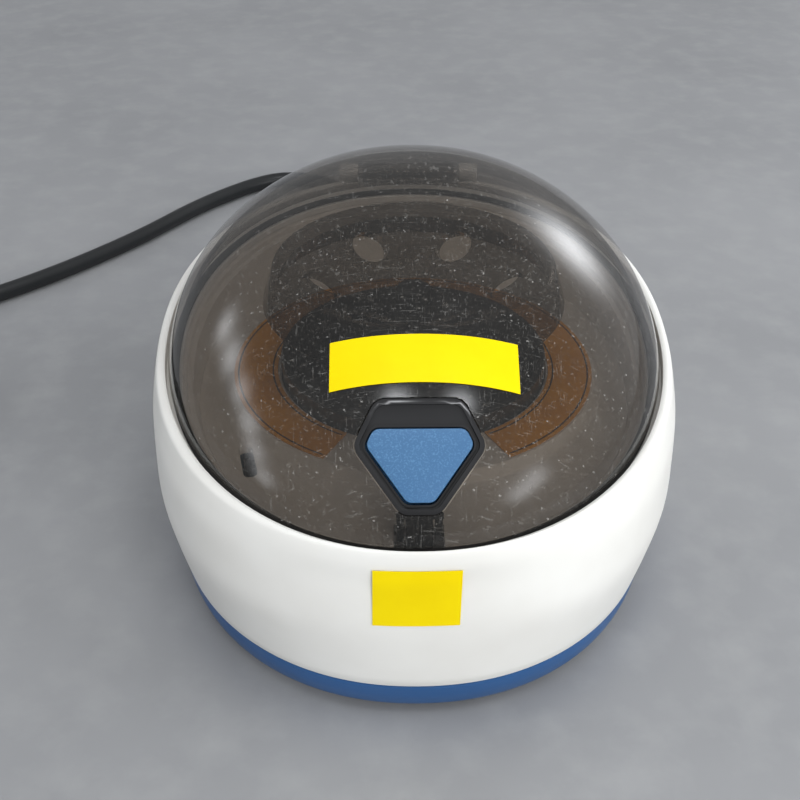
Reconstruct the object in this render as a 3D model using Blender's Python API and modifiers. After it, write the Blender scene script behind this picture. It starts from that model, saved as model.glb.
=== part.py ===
"""Mini centrifuge for six small tubes: egg-shaped two-part housing, smoked dome lid with a push-button
latch, smoked six-place rotor on a direct-drive motor, and a mains lead.

Lengths are written in millimetres and scaled once, in metres(). The origin is on the bench, under the
centre of the housing. +X is to the user's right, +Y to the back, +Z up.
"""

import math

import bmesh
import bpy
from mathutils import Matrix, Vector

# ---- driving dimensions, in millimetres ----------------------------------------------------------
HALF_WIDTH = 76.7          # widest half-width of the housing
HALF_DEPTH = 89.3          # and its half-depth
WIDEST_Z = 47.0            # height of the widest section at the middle of the housing
SPLIT_Z = 13.4             # top edge of the blue base pan
WALL = 2.2                 # moulded wall thickness
GAP = 0.3                  # clearance between pieces that touch

RIM_Z = 72.0               # the lid's rim plane at y = 0
RIM_SLOPE = 0.12           # and its rise towards the back
RIM_A = 71.4               # rim half-width
RIM_FRONT = 86.6
RIM_BACK = 83.2
DOME_TOP_Z = 115.2
DOME_TOP_Y = 16.5
DOME_SIDE_POWER = 1.9      # how round the dome is in plan as it closes
DOME_RISE_POWER = 1.6      # how fast the dome leans in above the rim
LID_WALL = 2.2

LEDGE_DROP = 3.2           # seal ledge below the rim plane
LIP_GAP = 0.8              # slit between the lid and the housing's lip
DECK_Z = 56.3              # chamber floor
COLLAR_R = 54.3            # raised collar that carries the warning label
COLLAR_Z = 59.6
WELL_R = 39.5              # black cup under the rotor
WELL_TOP_Z = 65.0
WELL_FLOOR_Z = 51.0

ROTOR_RIM_R = 39.0         # upper edge of the rotor
ROTOR_RIM_Z = 95.0
ROTOR_SKIRT_R = 44.0       # lower edge of its skirt
ROTOR_SKIRT_Z = 83.0
ROTOR_WALL = 2.4
TUBE_HOLE_R = 5.5          # holes for 2 mL tubes
TUBE_RING_R = 25.5
TUBE_COUNT = 6
TUBE_TILT = math.radians(45)
SHAFT_R = 1.5

HINGE_Y = 85.0             # lid hinge axis
HINGE_Z = 84.5
HINGE_R = 3.4
HINGE_PIN_R = 1.5
KNUCKLE_HALF = 16.0        # half-length of the lid's knuckle
LUG_INNER = 17.5           # the housing's two lugs, each side of it
LUG_OUTER = 24.0

BUTTON_CENTRE = Vector((0, -76.5, 79.5))
BUTTON_ELEVATION = math.radians(40)   # how far the button's face looks up
BUTTON_TRAVEL = 2.5
LATCH_PIVOT = (-77.1, 59.1)           # y, z of the latch hook's pin

PANEL_Y = 85.8             # flat recess at the back for the switch and the lead
PANEL_HALF = 23.0
SWITCH_X = 12.0
SWITCH_Z = 29.5
LEAD_X = -11.0
LEAD_Z = 29.0
RELIEF_END_Y = 120.0
CORD_R = 3.5
COIL_CENTRE = Vector((-214, 58, 0))
COIL_INNER_R = 28.0
COIL_OUTER_R = 49.0
COIL_HEIGHT = 14.0

FEET = [(x, y) for x in (-42, 42) for y in (-50, 50)]
SCREWS = [(x, y) for x in (-52, 52) for y in (-22, 22)]
SIDES = 52                 # segments round the housing and the dome
ROUND = 28                 # segments round smaller turned pieces

# ---- scene and helpers ---------------------------------------------------------------------------
for old in list(bpy.data.objects):
    bpy.data.objects.remove(old)

parts = bpy.data.collections.new("mini_centrifuge")
cutters = bpy.data.collections.new("cutters")
cutters.hide_render = True
for group in (parts, cutters):
    bpy.context.scene.collection.children.link(group)


def metres(point):
    return Vector(point) * 0.001


def material(name, colour, roughness, metallic=0.0, alpha=1.0):
    made = bpy.data.materials.new(name)
    made.use_nodes = True
    shader = made.node_tree.nodes["Principled BSDF"]
    shader.inputs["Base Color"].default_value = (*colour, 1)
    shader.inputs["Roughness"].default_value = roughness
    shader.inputs["Metallic"].default_value = metallic
    shader.inputs["Alpha"].default_value = alpha
    return made


WHITE = material("white_abs", (0.80, 0.80, 0.78), 0.45)
BLUE = material("blue_abs", (0.045, 0.12, 0.27), 0.4)
BUTTON_BLUE = material("button_blue", (0.07, 0.19, 0.38), 0.35)
SMOKE = material("smoked_clear", (0.16, 0.15, 0.14), 0.05, alpha=0.55)
ROTOR_SMOKE = material("rotor_smoke", (0.10, 0.10, 0.10), 0.1, alpha=0.7)
BLACK = material("black_plastic", (0.02, 0.02, 0.02), 0.3)
RUBBER = material("rubber", (0.025, 0.025, 0.025), 0.8)
YELLOW = material("yellow_tape", (0.98, 0.82, 0.0), 0.5)
AMBER = material("amber_label", (0.75, 0.38, 0.06), 0.5)
STEEL = material("steel", (0.6, 0.6, 0.6), 0.3, 1.0)
BOARD = material("board", (0.03, 0.18, 0.08), 0.5)


def add(name, mesh, finish, group=parts):
    made = bpy.data.objects.new(name, mesh)
    group.objects.link(made)
    if finish:
        mesh.materials.append(finish)
    if group is cutters:
        made.hide_render = True
        made.display_type = "WIRE"
    return made


def mesh_of(name, build):
    """A mesh whose geometry build() makes, in millimetres, in a bmesh."""
    grid = bmesh.new()
    build(grid)
    bmesh.ops.scale(grid, vec=(0.001,) * 3, verts=grid.verts)
    bmesh.ops.recalc_face_normals(grid, faces=grid.faces)
    mesh = bpy.data.meshes.new(name)
    grid.to_mesh(mesh)
    grid.free()
    mesh.shade_smooth()
    mesh.set_sharp_from_angle(angle=math.radians(35))
    return mesh


def loft(name, rings, finish, closed=True, group=parts):
    """Skin over rings of equal length. Closed joins the last ring to the first; otherwise ends are capped."""

    def build(grid):
        rows = [[grid.verts.new(point) for point in ring] for ring in rings]
        pairs = list(zip(rows, rows[1:] + rows[:1]))
        for low, high in pairs if closed else pairs[:-1]:
            for i in range(len(low)):
                j = (i + 1) % len(low)
                grid.faces.new((low[i], low[j], high[j], high[i]))
        if not closed:
            grid.faces.new(rows[0])
            grid.faces.new(rows[-1])
        bmesh.ops.triangulate(grid, faces=grid.faces)

    return add(name, mesh_of(name, build), finish, group)


def turned(name, profile, finish, axis_at=(0, 0, 0), along="Z", ring=False, steps=ROUND, group=parts):
    """A profile of (radius, height) pairs spun once. It runs down the outer side; ring closes the profile."""

    def build(grid):
        points = [grid.verts.new((r, 0, z)) for r, z in profile]
        for start, end in zip(points, points[1:] + (points[:1] if ring else [])):
            grid.edges.new((start, end))

    made = add(name, mesh_of(name, build), finish, group)
    screw = made.modifiers.new("spin", "SCREW")
    screw.steps = screw.render_steps = steps
    screw.use_merge_vertices = True
    screw.merge_threshold = 0.00002
    made.location = metres(axis_at)
    turn = {"Z": (0, 0, 0), "Y": (-math.pi / 2, 0, 0), "X": (0, math.pi / 2, 0)}
    made.rotation_euler = turn[along]
    return made


def box(name, low, high, finish, bevel=0.0, group=parts):
    """A rectangular block between two corners, with rounded edges."""
    size = [b - a for a, b in zip(low, high)]
    middle = [(a + b) / 2 for a, b in zip(low, high)]

    def build(grid):
        bmesh.ops.create_cube(grid, size=1)
        bmesh.ops.scale(grid, vec=size, verts=grid.verts)

    made = add(name, mesh_of(name, build), finish, group)
    made.location = metres(middle)
    if bevel:
        edge = made.modifiers.new("edges", "BEVEL")
        edge.width = bevel * 0.001
        edge.segments = 2
    return made


def cylinder(name, radius, start, end, finish, sides=24, group=parts):
    """A straight round bar between two points."""
    start, end = Vector(start), Vector(end)

    def build(grid):
        bmesh.ops.create_cone(
            grid, cap_ends=True, segments=sides, radius1=radius, radius2=radius, depth=(end - start).length
        )

    made = add(name, mesh_of(name, build), finish, group)
    made.location = metres((start + end) / 2)
    made.rotation_euler = (end - start).to_track_quat("Z", "Y").to_euler()
    return made


def prism(name, outline, low, high, place, finish, group=parts):
    """A flat outline extruded from low to high along the third axis of place, then laid at place."""
    curve = bpy.data.curves.new(name, "CURVE")
    curve.dimensions = "2D"
    curve.fill_mode = "BOTH"
    curve.extrude = (high - low) / 2 * 0.001
    line = curve.splines.new("POLY")
    line.points.add(len(outline) - 1)
    for point, (x, y) in zip(line.points, outline):
        point.co = (x * 0.001, y * 0.001, 0, 1)
    line.use_cyclic_u = True
    guide = add(name + "_outline", curve, None)
    bpy.context.view_layer.update()
    mesh = bpy.data.meshes.new_from_object(guide.evaluated_get(bpy.context.evaluated_depsgraph_get()))
    bpy.data.objects.remove(guide)
    grid = bmesh.new()
    grid.from_mesh(mesh)
    bmesh.ops.remove_doubles(grid, verts=grid.verts, dist=0.00001)
    bmesh.ops.recalc_face_normals(grid, faces=grid.faces)
    grid.to_mesh(mesh)
    grid.free()
    made = add(name, mesh, finish, group)
    shift = Matrix.Translation((0, 0, (low + high) / 2 * 0.001))
    made.matrix_world = place @ shift
    return made


def tube(name, points, radius, finish, detail=2):
    curve = bpy.data.curves.new(name, "CURVE")
    curve.dimensions = "3D"
    curve.bevel_depth = radius * 0.001
    curve.bevel_resolution = detail
    curve.use_fill_caps = True
    line = curve.splines.new("POLY")
    line.points.add(len(points) - 1)
    for point, place in zip(line.points, points):
        point.co = (*metres(place), 1)
    return add(name, curve, finish)


def combine(target, tool, operation):
    """Boolean of target with tool, which is moved among the cutters."""
    step = target.modifiers.new(operation.lower() + "_" + tool.name, "BOOLEAN")
    step.operation = operation
    step.solver = "EXACT"
    step.object = tool
    tool.hide_render = True
    tool.display_type = "WIRE"
    if tool.name in parts.objects:
        parts.objects.unlink(tool)
        cutters.objects.link(tool)


def cut(target, tool):
    combine(target, tool, "DIFFERENCE")


def join(target, tool):
    combine(target, tool, "UNION")


# ---- outlines and surfaces -----------------------------------------------------------------------
def outline(half_width, front, back, power, height):
    """Egg-shaped ring: a superellipse with its own front and back depth. height is a number or z(y)."""
    ring = []
    for i in range(SIDES):
        angle = 2 * math.pi * i / SIDES
        cosine, sine = math.cos(angle), math.sin(angle)
        depth = back if sine > 0 else front
        x = half_width * math.copysign(abs(cosine) ** (2 / power), cosine)
        y = depth * math.copysign(abs(sine) ** (2 / power), sine)
        ring.append((x, y, height(y) if callable(height) else height))
    return ring


def rim_plane(offset):
    return lambda y: RIM_Z + offset + RIM_SLOPE * y


def rim(grow, offset):
    """The lid's rim outline, grown sideways and moved off the rim plane."""
    return outline(RIM_A + grow, RIM_FRONT + grow, RIM_BACK + grow, 2.1, rim_plane(offset))


def housing(grow, height, power=2.35, shrink=0.0):
    """The housing's outline at the widest section, or shrunk from it."""
    return outline(
        HALF_WIDTH - shrink + grow, HALF_DEPTH - shrink + grow, HALF_DEPTH - shrink + grow, power, height
    )


def widest_plane(offset):
    return lambda y: WIDEST_Z + offset + 0.4 * RIM_SLOPE * y


def circle(radius, height):
    return outline(radius, radius, radius, 2, height)


def dome_ring(rise, inset=0.0):
    """The dome's section at rise from 0, the rim, to 1, the top."""
    turn = math.asin(min(1, rise ** (DOME_RISE_POWER / 2)))
    close = math.cos(turn) ** (2 / DOME_SIDE_POWER)
    ring = []
    for x, y, _ in rim(-inset, 0):
        z = RIM_Z + RIM_SLOPE * y * (1 - rise) + (DOME_TOP_Z - RIM_Z - inset) * rise
        ring.append((x * close, y * close + DOME_TOP_Y * (1 - close), z))
    return ring


def dome_height(x, y):
    """Height of the dome's outer surface over a point, by bisection on the rise."""
    low, high = 0.0, 1.0
    for _ in range(30):
        rise = (low + high) / 2
        turn = math.asin(rise ** (DOME_RISE_POWER / 2))
        close = max(math.cos(turn) ** (2 / DOME_SIDE_POWER), 1e-6)
        across = x / close
        along = (y - DOME_TOP_Y * (1 - close)) / close
        depth = RIM_BACK if along > 0 else RIM_FRONT
        inside = abs(across / RIM_A) ** 2.1 + abs(along / depth) ** 2.1 < 1
        low, high = (rise, high) if inside else (low, rise)
    return RIM_Z + RIM_SLOPE * along * (1 - rise) + (DOME_TOP_Z - RIM_Z) * rise


DOME_RISES = [0, 0.09, 0.2, 0.32, 0.45, 0.58, 0.7, 0.81, 0.9, 0.96]


def dome_surface(name, inset, capped, group):
    """The dome's skin: open at the rim, or capped there to make a solid."""
    rings = [dome_ring(rise, inset) for rise in DOME_RISES]

    def build(grid):
        rows = [[grid.verts.new(point) for point in ring] for ring in rings]
        top = grid.verts.new((0, DOME_TOP_Y, DOME_TOP_Z - inset))
        for low, high in zip(rows, rows[1:]):
            for i in range(SIDES):
                j = (i + 1) % SIDES
                grid.faces.new((low[i], low[j], high[j], high[i]))
        for i in range(SIDES):
            grid.faces.new((rows[-1][i], rows[-1][(i + 1) % SIDES], top))
        if capped:
            grid.faces.new(rows[0])

    return add(name, mesh_of(name, build), SMOKE if group is parts else None, group)


def smooth_route(knots, spacing):
    """Points along a Catmull-Rom curve through the knots, about spacing apart."""
    knots = [Vector(knot) for knot in knots]
    ends = [2 * knots[0] - knots[1], *knots, 2 * knots[-1] - knots[-2]]
    points = []
    for a, b, c, d in zip(ends, ends[1:], ends[2:], ends[3:]):
        count = max(1, round((c - b).length / spacing))
        for i in range(count):
            t = i / count
            points.append(
                0.5 * (2 * b + (c - a) * t + (2 * a - 5 * b + 4 * c - d) * t**2 + (3 * b - a - 3 * c + d) * t**3)
            )
    return points + [knots[-1]]


# ---- housing -------------------------------------------------------------------------------------
def base_pan():
    """Blue tray: the bottom of the housing, with holes for its screws and feet."""
    outer = [(69.6, 81.0, 2.5), (72.2, 84.0, 4.2), (73.3, 86.0, 8.5), (73.6, 86.8, SPLIT_Z)]
    rings = [outline(a, b, b, 2.1, z) for a, b, z in outer]
    rings += [outline(a - WALL, b - WALL, b - WALL, 2.1, max(z, 5.0)) for a, b, z in reversed(outer)]
    pan = loft("base_pan", rings, BLUE, closed=False)
    for i, (x, y) in enumerate(SCREWS):
        cut(pan, cylinder(f"screw_hole_{i}", 3.4, (x, y, 0), (x, y, 8), None, group=cutters))
    for i, (x, y) in enumerate(FEET):
        cut(pan, cylinder(f"foot_hole_{i}", 2.5, (x, y, 0), (x, y, 8), None, group=cutters))


def upper_shell():
    """White body: curved wall, soft lip round the lid, seal ledge, hinge lugs and rear panel."""
    lower = SPLIT_Z + GAP
    rings = [
        outline(73.7, 86.9, 86.9, 2.12, lower),
        outline(75.5, 88.4, 88.4, 2.22, 26),
        housing(0, widest_plane(-6)),
        housing(0, widest_plane(3)),
        housing(-0.5, rim_plane(-9)),
        outline(75.6, 89.0, 87.6, 2.25, rim_plane(-4)),
        outline(75.1, 88.7, 87.0, 2.2, rim_plane(-1.2)),
        outline(74.6, 88.3, 86.5, 2.17, rim_plane(0.3)),
        outline(73.6, 87.9, 85.6, 2.12, rim_plane(0.8)),
        rim(LIP_GAP, 0.4),
        rim(LIP_GAP, -LEDGE_DROP),
        rim(-3.5, -LEDGE_DROP),
        rim(-3.5, -LEDGE_DROP - 2),
        rim(-0.9, -LEDGE_DROP - 2),
        rim(-0.2, -8.5),
        housing(-WALL, widest_plane(2)),
        housing(-WALL, widest_plane(-6)),
        outline(75.5 - WALL, 88.4 - WALL, 88.4 - WALL, 2.22, 26),
        outline(73.7 - WALL, 86.9 - WALL, 86.9 - WALL, 2.12, lower),
    ]
    shell = loft("upper_shell", rings, WHITE)
    cut(shell, box("knuckle_notch", (-17, 79.5, 80.4), (17, 95, 95), None, group=cutters))
    for side in (-1, 1):
        ends = sorted((side * LUG_INNER, side * LUG_OUTER))
        name = "left" if side < 0 else "right"
        join(shell, box(f"lug_block_{name}", (ends[0], 82.3, 76), (ends[1], 87.8, 83.7), None, group=cutters))
        start, end = (ends[0], HINGE_Y, HINGE_Z), (ends[1], HINGE_Y, HINGE_Z)
        join(shell, cylinder(f"lug_round_{name}", HINGE_R, start, end, None, group=cutters))
    join(shell, box("panel_wall", (-24.5, 83.3, 15), (24.5, PANEL_Y + 0.7, 43.3), None, group=cutters))
    cut(shell, box("panel_recess", (-PANEL_HALF, PANEL_Y, 16.5), (PANEL_HALF, 95, 42), None, group=cutters))
    cut(
        shell,
        box(
            "switch_opening",
            (SWITCH_X - 6.6, 70, SWITCH_Z - 9.6),
            (SWITCH_X + 6.6, 95, SWITCH_Z + 9.6),
            None,
            group=cutters,
        ),
    )
    start, end = (LEAD_X, 70, LEAD_Z), (LEAD_X, 95, LEAD_Z)
    cut(shell, cylinder("lead_hole", 5.4, start, end, None, group=cutters))
    start, end = (-LUG_OUTER - 1, HINGE_Y, HINGE_Z), (LUG_OUTER + 1, HINGE_Y, HINGE_Z)
    cut(shell, cylinder("hinge_bore", HINGE_PIN_R + 0.05 + GAP, start, end, None, group=cutters))


def chamber_deck():
    """White insert: side wall, deck and the raised collar round the rotor well."""
    flange = -LEDGE_DROP - 2 - GAP
    rings = [
        rim(-1.5, flange),
        rim(-4.0, flange),
        outline(RIM_A - 6.5, RIM_FRONT - 6.5, RIM_BACK - 6.5, 2.1, DECK_Z),
        circle(57.2, DECK_Z),
        circle(COLLAR_R, COLLAR_Z),
        circle(WELL_R + GAP, COLLAR_Z),
        circle(WELL_R + GAP, COLLAR_Z - WALL),
        circle(53.0, COLLAR_Z - WALL),
        circle(55.8, DECK_Z - WALL),
        outline(RIM_A - 8.2, RIM_FRONT - 8.2, RIM_BACK - 8.2, 2.1, DECK_Z - WALL),
        rim(-6.2, flange - WALL),
        rim(-1.5, flange - WALL),
    ]
    deck = loft("chamber_deck", rings, WHITE)
    cut(deck, box("latch_slot", (-6.4, -95, 50), (6.4, -71, 66), None, group=cutters))
    slot = box("interlock_slot", (-47.9, -51, 50), (-44.1, -37, 66), None, bevel=1.6, group=cutters)
    slot.rotation_euler = (0, 0, math.radians(12))
    cut(deck, slot)


def well_cup():
    """Black cup under the rotor, with a flange that hangs under the deck."""
    flange_z = COLLAR_Z - WALL - GAP
    profile = [
        (WELL_R - 2, WELL_TOP_Z),
        (WELL_R, WELL_TOP_Z),
        (WELL_R, flange_z),
        (WELL_R + 4, flange_z),
        (WELL_R + 4, flange_z - 2),
        (WELL_R, flange_z - 2),
        (WELL_R - 1.5, WELL_FLOOR_Z - 2),
        (5.0, WELL_FLOOR_Z - 2),
        (5.0, WELL_FLOOR_Z),
        (WELL_R - 4, WELL_FLOOR_Z),
        (WELL_R - 2, WELL_FLOOR_Z + 3),
    ]
    turned("well_cup", profile, BLACK, ring=True, steps=36)


def seal_and_labels():
    """Lid gasket, blank amber band on the collar, and blank yellow tape on the front."""
    low, high = -LEDGE_DROP + GAP, -LEDGE_DROP + 1.1
    loft("lid_seal", [rim(-0.4, low), rim(-0.4, high), rim(-2.8, high), rim(-2.8, low)], RUBBER)
    start, sweep, steps = math.radians(-62), math.radians(304), 32
    outer = [start + sweep * i / steps for i in range(steps + 1)]
    points = [((COLLAR_R - 0.6) * math.cos(a), (COLLAR_R - 0.6) * math.sin(a)) for a in outer]
    points += [((WELL_R + 1.2) * math.cos(a), (WELL_R + 1.2) * math.sin(a)) for a in reversed(outer)]
    low = COLLAR_Z + GAP
    prism("warning_band", points, low, low + 0.3, Matrix.Identity(4), AMBER)
    columns = [-11.8 + 22 * i / 5 for i in range(6)]

    def face(depth):
        return [[Vector((x, front_face(x, z) - depth, z)) for x in columns] for z in (39, 45, 51, 57)]

    sheet("body_tape", face(GAP), face(2 * GAP), YELLOW)


def front_face(x, z):
    """y of the housing's front at height z, over the stretch that the tape covers."""
    grow = 0.0 if z < 53 else -0.5 * (z - 53) / 6
    return -(HALF_DEPTH + grow) * (1 - abs(x / HALF_WIDTH) ** 2.35) ** (1 / 2.35)


def sheet(name, inner, outer, finish):
    """A thin patch between two grids of points."""

    def build(grid):
        layers = [[[grid.verts.new(point) for point in row] for row in layer] for layer in (inner, outer)]
        for layer in layers:
            for low, high in zip(layer, layer[1:]):
                for i in range(len(low) - 1):
                    grid.faces.new((low[i], low[i + 1], high[i + 1], high[i]))

        def border(layer):
            right = [row[-1] for row in layer[1:]]
            left = [row[0] for row in layer[1:-1]]
            return layer[0] + right + layer[-1][-2::-1] + left[::-1]

        edge_in, edge_out = border(layers[0]), border(layers[1])
        for i in range(len(edge_in)):
            j = (i + 1) % len(edge_in)
            grid.faces.new((edge_in[i], edge_in[j], edge_out[j], edge_out[i]))

    return add(name, mesh_of(name, build), finish)


def feet_and_screws():
    for i, (x, y) in enumerate(FEET):
        profile = [(0, 6.4), (2.1, 6.4), (2.1, 2.2), (6.6, 2.2), (7.0, 1.7), (6.6, 0), (0, 0)]
        turned(f"foot_{i + 1}", profile, RUBBER, (x, y, 0), steps=20)
    for i, (x, y) in enumerate(SCREWS):
        profile = [(0, 12), (1.5, 12), (1.5, 5.6), (3.0, 5.6), (3.0, 3.4), (2.4, 2.9), (0, 2.9)]
        turned(f"base_screw_{i + 1}", profile, STEEL, (x, y, 0), steps=14)


# ---- lid and latch -------------------------------------------------------------------------------
BUTTON_PLACE = Matrix.Translation(BUTTON_CENTRE * 0.001) @ Matrix(
    (
        (1, 0, 0, 0),
        (0, math.sin(BUTTON_ELEVATION), -math.cos(BUTTON_ELEVATION), 0),
        (0, math.cos(BUTTON_ELEVATION), math.sin(BUTTON_ELEVATION), 0),
        (0, 0, 0, 1),
    )
)
SIDE_PLACE = Matrix(((0, 0, 1, 0), (1, 0, 0, 0), (0, 1, 0, 0), (0, 0, 0, 1)))


def rounded(corners, radius, steps=3):
    """A polygon with every corner rounded by an arc."""
    points = []
    corners = [Vector(corner) for corner in corners]
    for i, corner in enumerate(corners):
        before = (corners[i - 1] - corner).normalized()
        after = (corners[(i + 1) % len(corners)] - corner).normalized()
        half = before.angle(after) / 2
        centre = corner + (before + after).normalized() * (radius / math.sin(half))
        first = corner + before * (radius / math.tan(half)) - centre
        last = corner + after * (radius / math.tan(half)) - centre
        for step in range(steps + 1):
            points.append(centre + first.slerp(last, step / steps) * radius)
    return points


def shield(grow, top_grow, radius):
    """The button's outline: a wide top, two side corners and a narrow bottom, going round clockwise."""
    shoulder = 11.2 + grow * 1.11 - top_grow * 0.49
    return rounded(
        [
            (-shoulder, 9 + top_grow),
            (shoulder, 9 + top_grow),
            (13.2 + grow * 1.16, 4.9 - grow * 0.1),
            (3.3 + grow * 0.52, -9 - grow),
            (-3.3 - grow * 0.52, -9 - grow),
            (-13.2 - grow * 1.16, 4.9 - grow * 0.1),
        ],
        radius,
    )


def lid():
    """Smoked dome with its knuckle, and the black housing that carries the button and the latch."""
    dome = dome_surface("lid_dome", 0, False, parts)
    wall = dome.modifiers.new("wall", "SOLIDIFY")
    wall.thickness = LID_WALL * 0.001
    wall.offset = -1
    wall.use_even_offset = True
    cut(dome, prism("housing_hole", shield(3.1, 7.8, 4.3), -20, 12, BUTTON_PLACE, None, group=cutters))
    block = box("knuckle_block", (-KNUCKLE_HALF, 80.6, 82.6), (KNUCKLE_HALF, 85.6, 87.8), None, group=cutters)
    join(dome, block)
    start, end = (-KNUCKLE_HALF, HINGE_Y, HINGE_Z), (KNUCKLE_HALF, HINGE_Y, HINGE_Z)
    join(dome, cylinder("knuckle_round", HINGE_R, start, end, None, group=cutters))
    start, end = (-20, HINGE_Y, HINGE_Z), (20, HINGE_Y, HINGE_Z)
    cut(dome, cylinder("knuckle_bore", HINGE_PIN_R + GAP, start, end, None, group=cutters))

    frame = prism("button_housing", shield(2.8, 7.5, 4.0), -7.5, 9, BUTTON_PLACE, BLACK)
    combine(frame, dome_surface("dome_form", 0, True, cutters), "INTERSECT")
    cut(frame, prism("finger_scoop", shield(1.6, 6.0, 3.2), -3.6, 12, BUTTON_PLACE, None, group=cutters))
    cut(frame, prism("button_bore", shield(0.4, 0.4, 2.8), -12, 12, BUTTON_PLACE, None, group=cutters))
    cut(frame, prism("flange_room", shield(1.8, 1.8, 3.2), -12, -6.0, BUTTON_PLACE, None, group=cutters))
    yoke = [(-79.6, 67.75), (-77.0, 65.55), (-78.2, 64.1), (-80.8, 66.3)]
    ear = [(-79.5, 67.4), (-77.2, 65.5), (-74.2, 59.5), (-75.3, 57.6), (-77.3, 56.8), (-78.8, 57.5), (-79.3, 59.4),
           (-78.4, 64.2), (-80.5, 66.3)]
    for side in (-1, 1):
        low, high = sorted((side * 3.8, side * 5.7))
        name = "left" if side < 0 else "right"
        join(frame, prism(f"ear_{name}", ear, low, high, SIDE_PLACE, None, group=cutters))
    join(frame, prism("ear_yoke", yoke, -5.8, 5.8, SIDE_PLACE, None, group=cutters))
    y, z = LATCH_PIVOT
    cut(frame, cylinder("ear_bore", 1.35, (-7, y, z), (7, y, z), None, group=cutters))
    cylinder("latch_pin", 1.0, (-5.8, y, z), (5.8, y, z), STEEL, sides=16)

    patch = [-23.5 + 47 * i / 10 for i in range(11)]
    rows = [-60.6 + 11.6 * i / 3 for i in range(4)]

    def skin(lift):
        return [[Vector((x + 1.5, y, dome_height(x + 1.5, y) + lift)) for x in patch] for y in rows]

    sheet("lid_tape", skin(0.4), skin(0.8), YELLOW)
    cylinder("hinge_pin", HINGE_PIN_R, (-LUG_OUTER, HINGE_Y, HINGE_Z), (LUG_OUTER, HINGE_Y, HINGE_Z), STEEL)


def press_button():
    """Blue button with a retaining flange and a stem, its return spring and the spring's bracket."""
    button = prism("press_button", shield(0, 0, 2.4), -7.3, 0.6, BUTTON_PLACE, BUTTON_BLUE)
    join(button, prism("button_flange", shield(1.2, 1.2, 2.8), -7.3, -6.3, BUTTON_PLACE, None, group=cutters))
    stem_ends = [BUTTON_PLACE @ metres((0, -4, depth)) * 1000 for depth in (-12.6, -7)]
    join(button, cylinder("button_stem", 1.5, *stem_ends, None, sides=16, group=cutters))
    coil = []
    turns, per_turn = 4, 12
    for i in range(turns * per_turn + 1):
        angle = 2 * math.pi * i / per_turn
        depth = -7.9 - 3.5 * i / (turns * per_turn)
        coil.append(BUTTON_PLACE @ metres((3 * math.cos(angle), 6 + 3 * math.sin(angle), depth)) * 1000)
    tube("button_spring", coil, 0.28, STEEL, detail=0)
    bracket = prism("spring_bracket", rounded([(-9.6, 1), (-9.6, 14.6), (9.6, 14.6), (9.6, 1)], 1), -13.4, -12,
                    BUTTON_PLACE, BLACK)
    for side in (-1, 1):
        low, high = sorted((side * 4.6, side * 8.6))
        post = [(low, 12.4), (low, 14.2), (high, 14.2), (high, 12.4)]
        name = "left" if side < 0 else "right"
        join(bracket, prism(f"post_{name}", post, -12.6, -7.8, BUTTON_PLACE, None, group=cutters))


def latch():
    """Hook that the button's stem tips forward, and the spring clip under the deck that holds it."""
    profile = [
        (-79.2, 49.4), (-76.2, 49.4), (-74.8, 50.6), (-74.8, 51.9), (-77.0, 51.9), (-77.0, 56.6), (-75.4, 57.0),
        (-74.2, 58.6), (-66.4, 67.9), (-68.1, 69.3), (-75.6, 60.6), (-77.2, 61.2), (-78.0, 62.6), (-79.8, 62.6),
        (-79.8, 58.4), (-79.2, 57.4),
    ]
    hook = prism("latch_hook", profile, -3.4, 3.4, SIDE_PLACE, BLACK)
    y, z = LATCH_PIVOT
    cut(hook, cylinder("hook_bore", 1.3, (-8, y, z), (8, y, z), None, sides=16, group=cutters))
    box("latch_catch", (-8, -76.3, DECK_Z - WALL - 1.1), (8, -62, DECK_Z - WALL - GAP), STEEL)


# ---- rotor and drive -----------------------------------------------------------------------------
def rotor():
    """Smoked six-place rotor: a dished web, a turned-down skirt and a hub, with holes tilted at 45 degrees."""
    web_z = ROTOR_RIM_Z - 17
    profile = [
        (SHAFT_R + 0.05 + GAP, web_z + 4),
        (8.5, web_z + 4),
        (11.0, web_z + 2.5),
        (ROTOR_RIM_R - 1.6, ROTOR_RIM_Z - 0.8),
        (ROTOR_RIM_R, ROTOR_RIM_Z),
        (ROTOR_RIM_R + 1.6, ROTOR_RIM_Z - 1.0),
        (ROTOR_SKIRT_R, ROTOR_SKIRT_Z),
        (ROTOR_SKIRT_R - ROTOR_WALL, ROTOR_SKIRT_Z),
        (ROTOR_RIM_R - 0.6, ROTOR_RIM_Z - 4.6),
        (12.0, web_z - 1.2),
        (9.5, web_z - 3),
        (9.5, web_z - 14),
        (SHAFT_R + 0.05 + GAP, web_z - 14),
    ]
    body = turned("rotor", profile, ROTOR_SMOKE, ring=True, steps=42)
    for i in range(TUBE_COUNT):
        angle = math.radians(360 / TUBE_COUNT * i)
        out = Vector((math.cos(angle), math.sin(angle), 0))
        centre = out * TUBE_RING_R + Vector((0, 0, web_z + 9.8))
        along = (out * math.sin(TUBE_TILT) - Vector((0, 0, math.cos(TUBE_TILT)))) * 14
        hole = cylinder(f"tube_hole_{i}", TUBE_HOLE_R, centre - along, centre + along * 0.8, None, 14, cutters)
        cut(body, hole)
    knob = [(0, 86.2), (4.6, 86.2), (5.2, 85.6), (5.2, 82.3), (SHAFT_R + GAP, 82.3), (SHAFT_R + GAP, 84.4), (0, 84.4)]
    turned("rotor_knob", knob, BLACK, steps=24)


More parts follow.
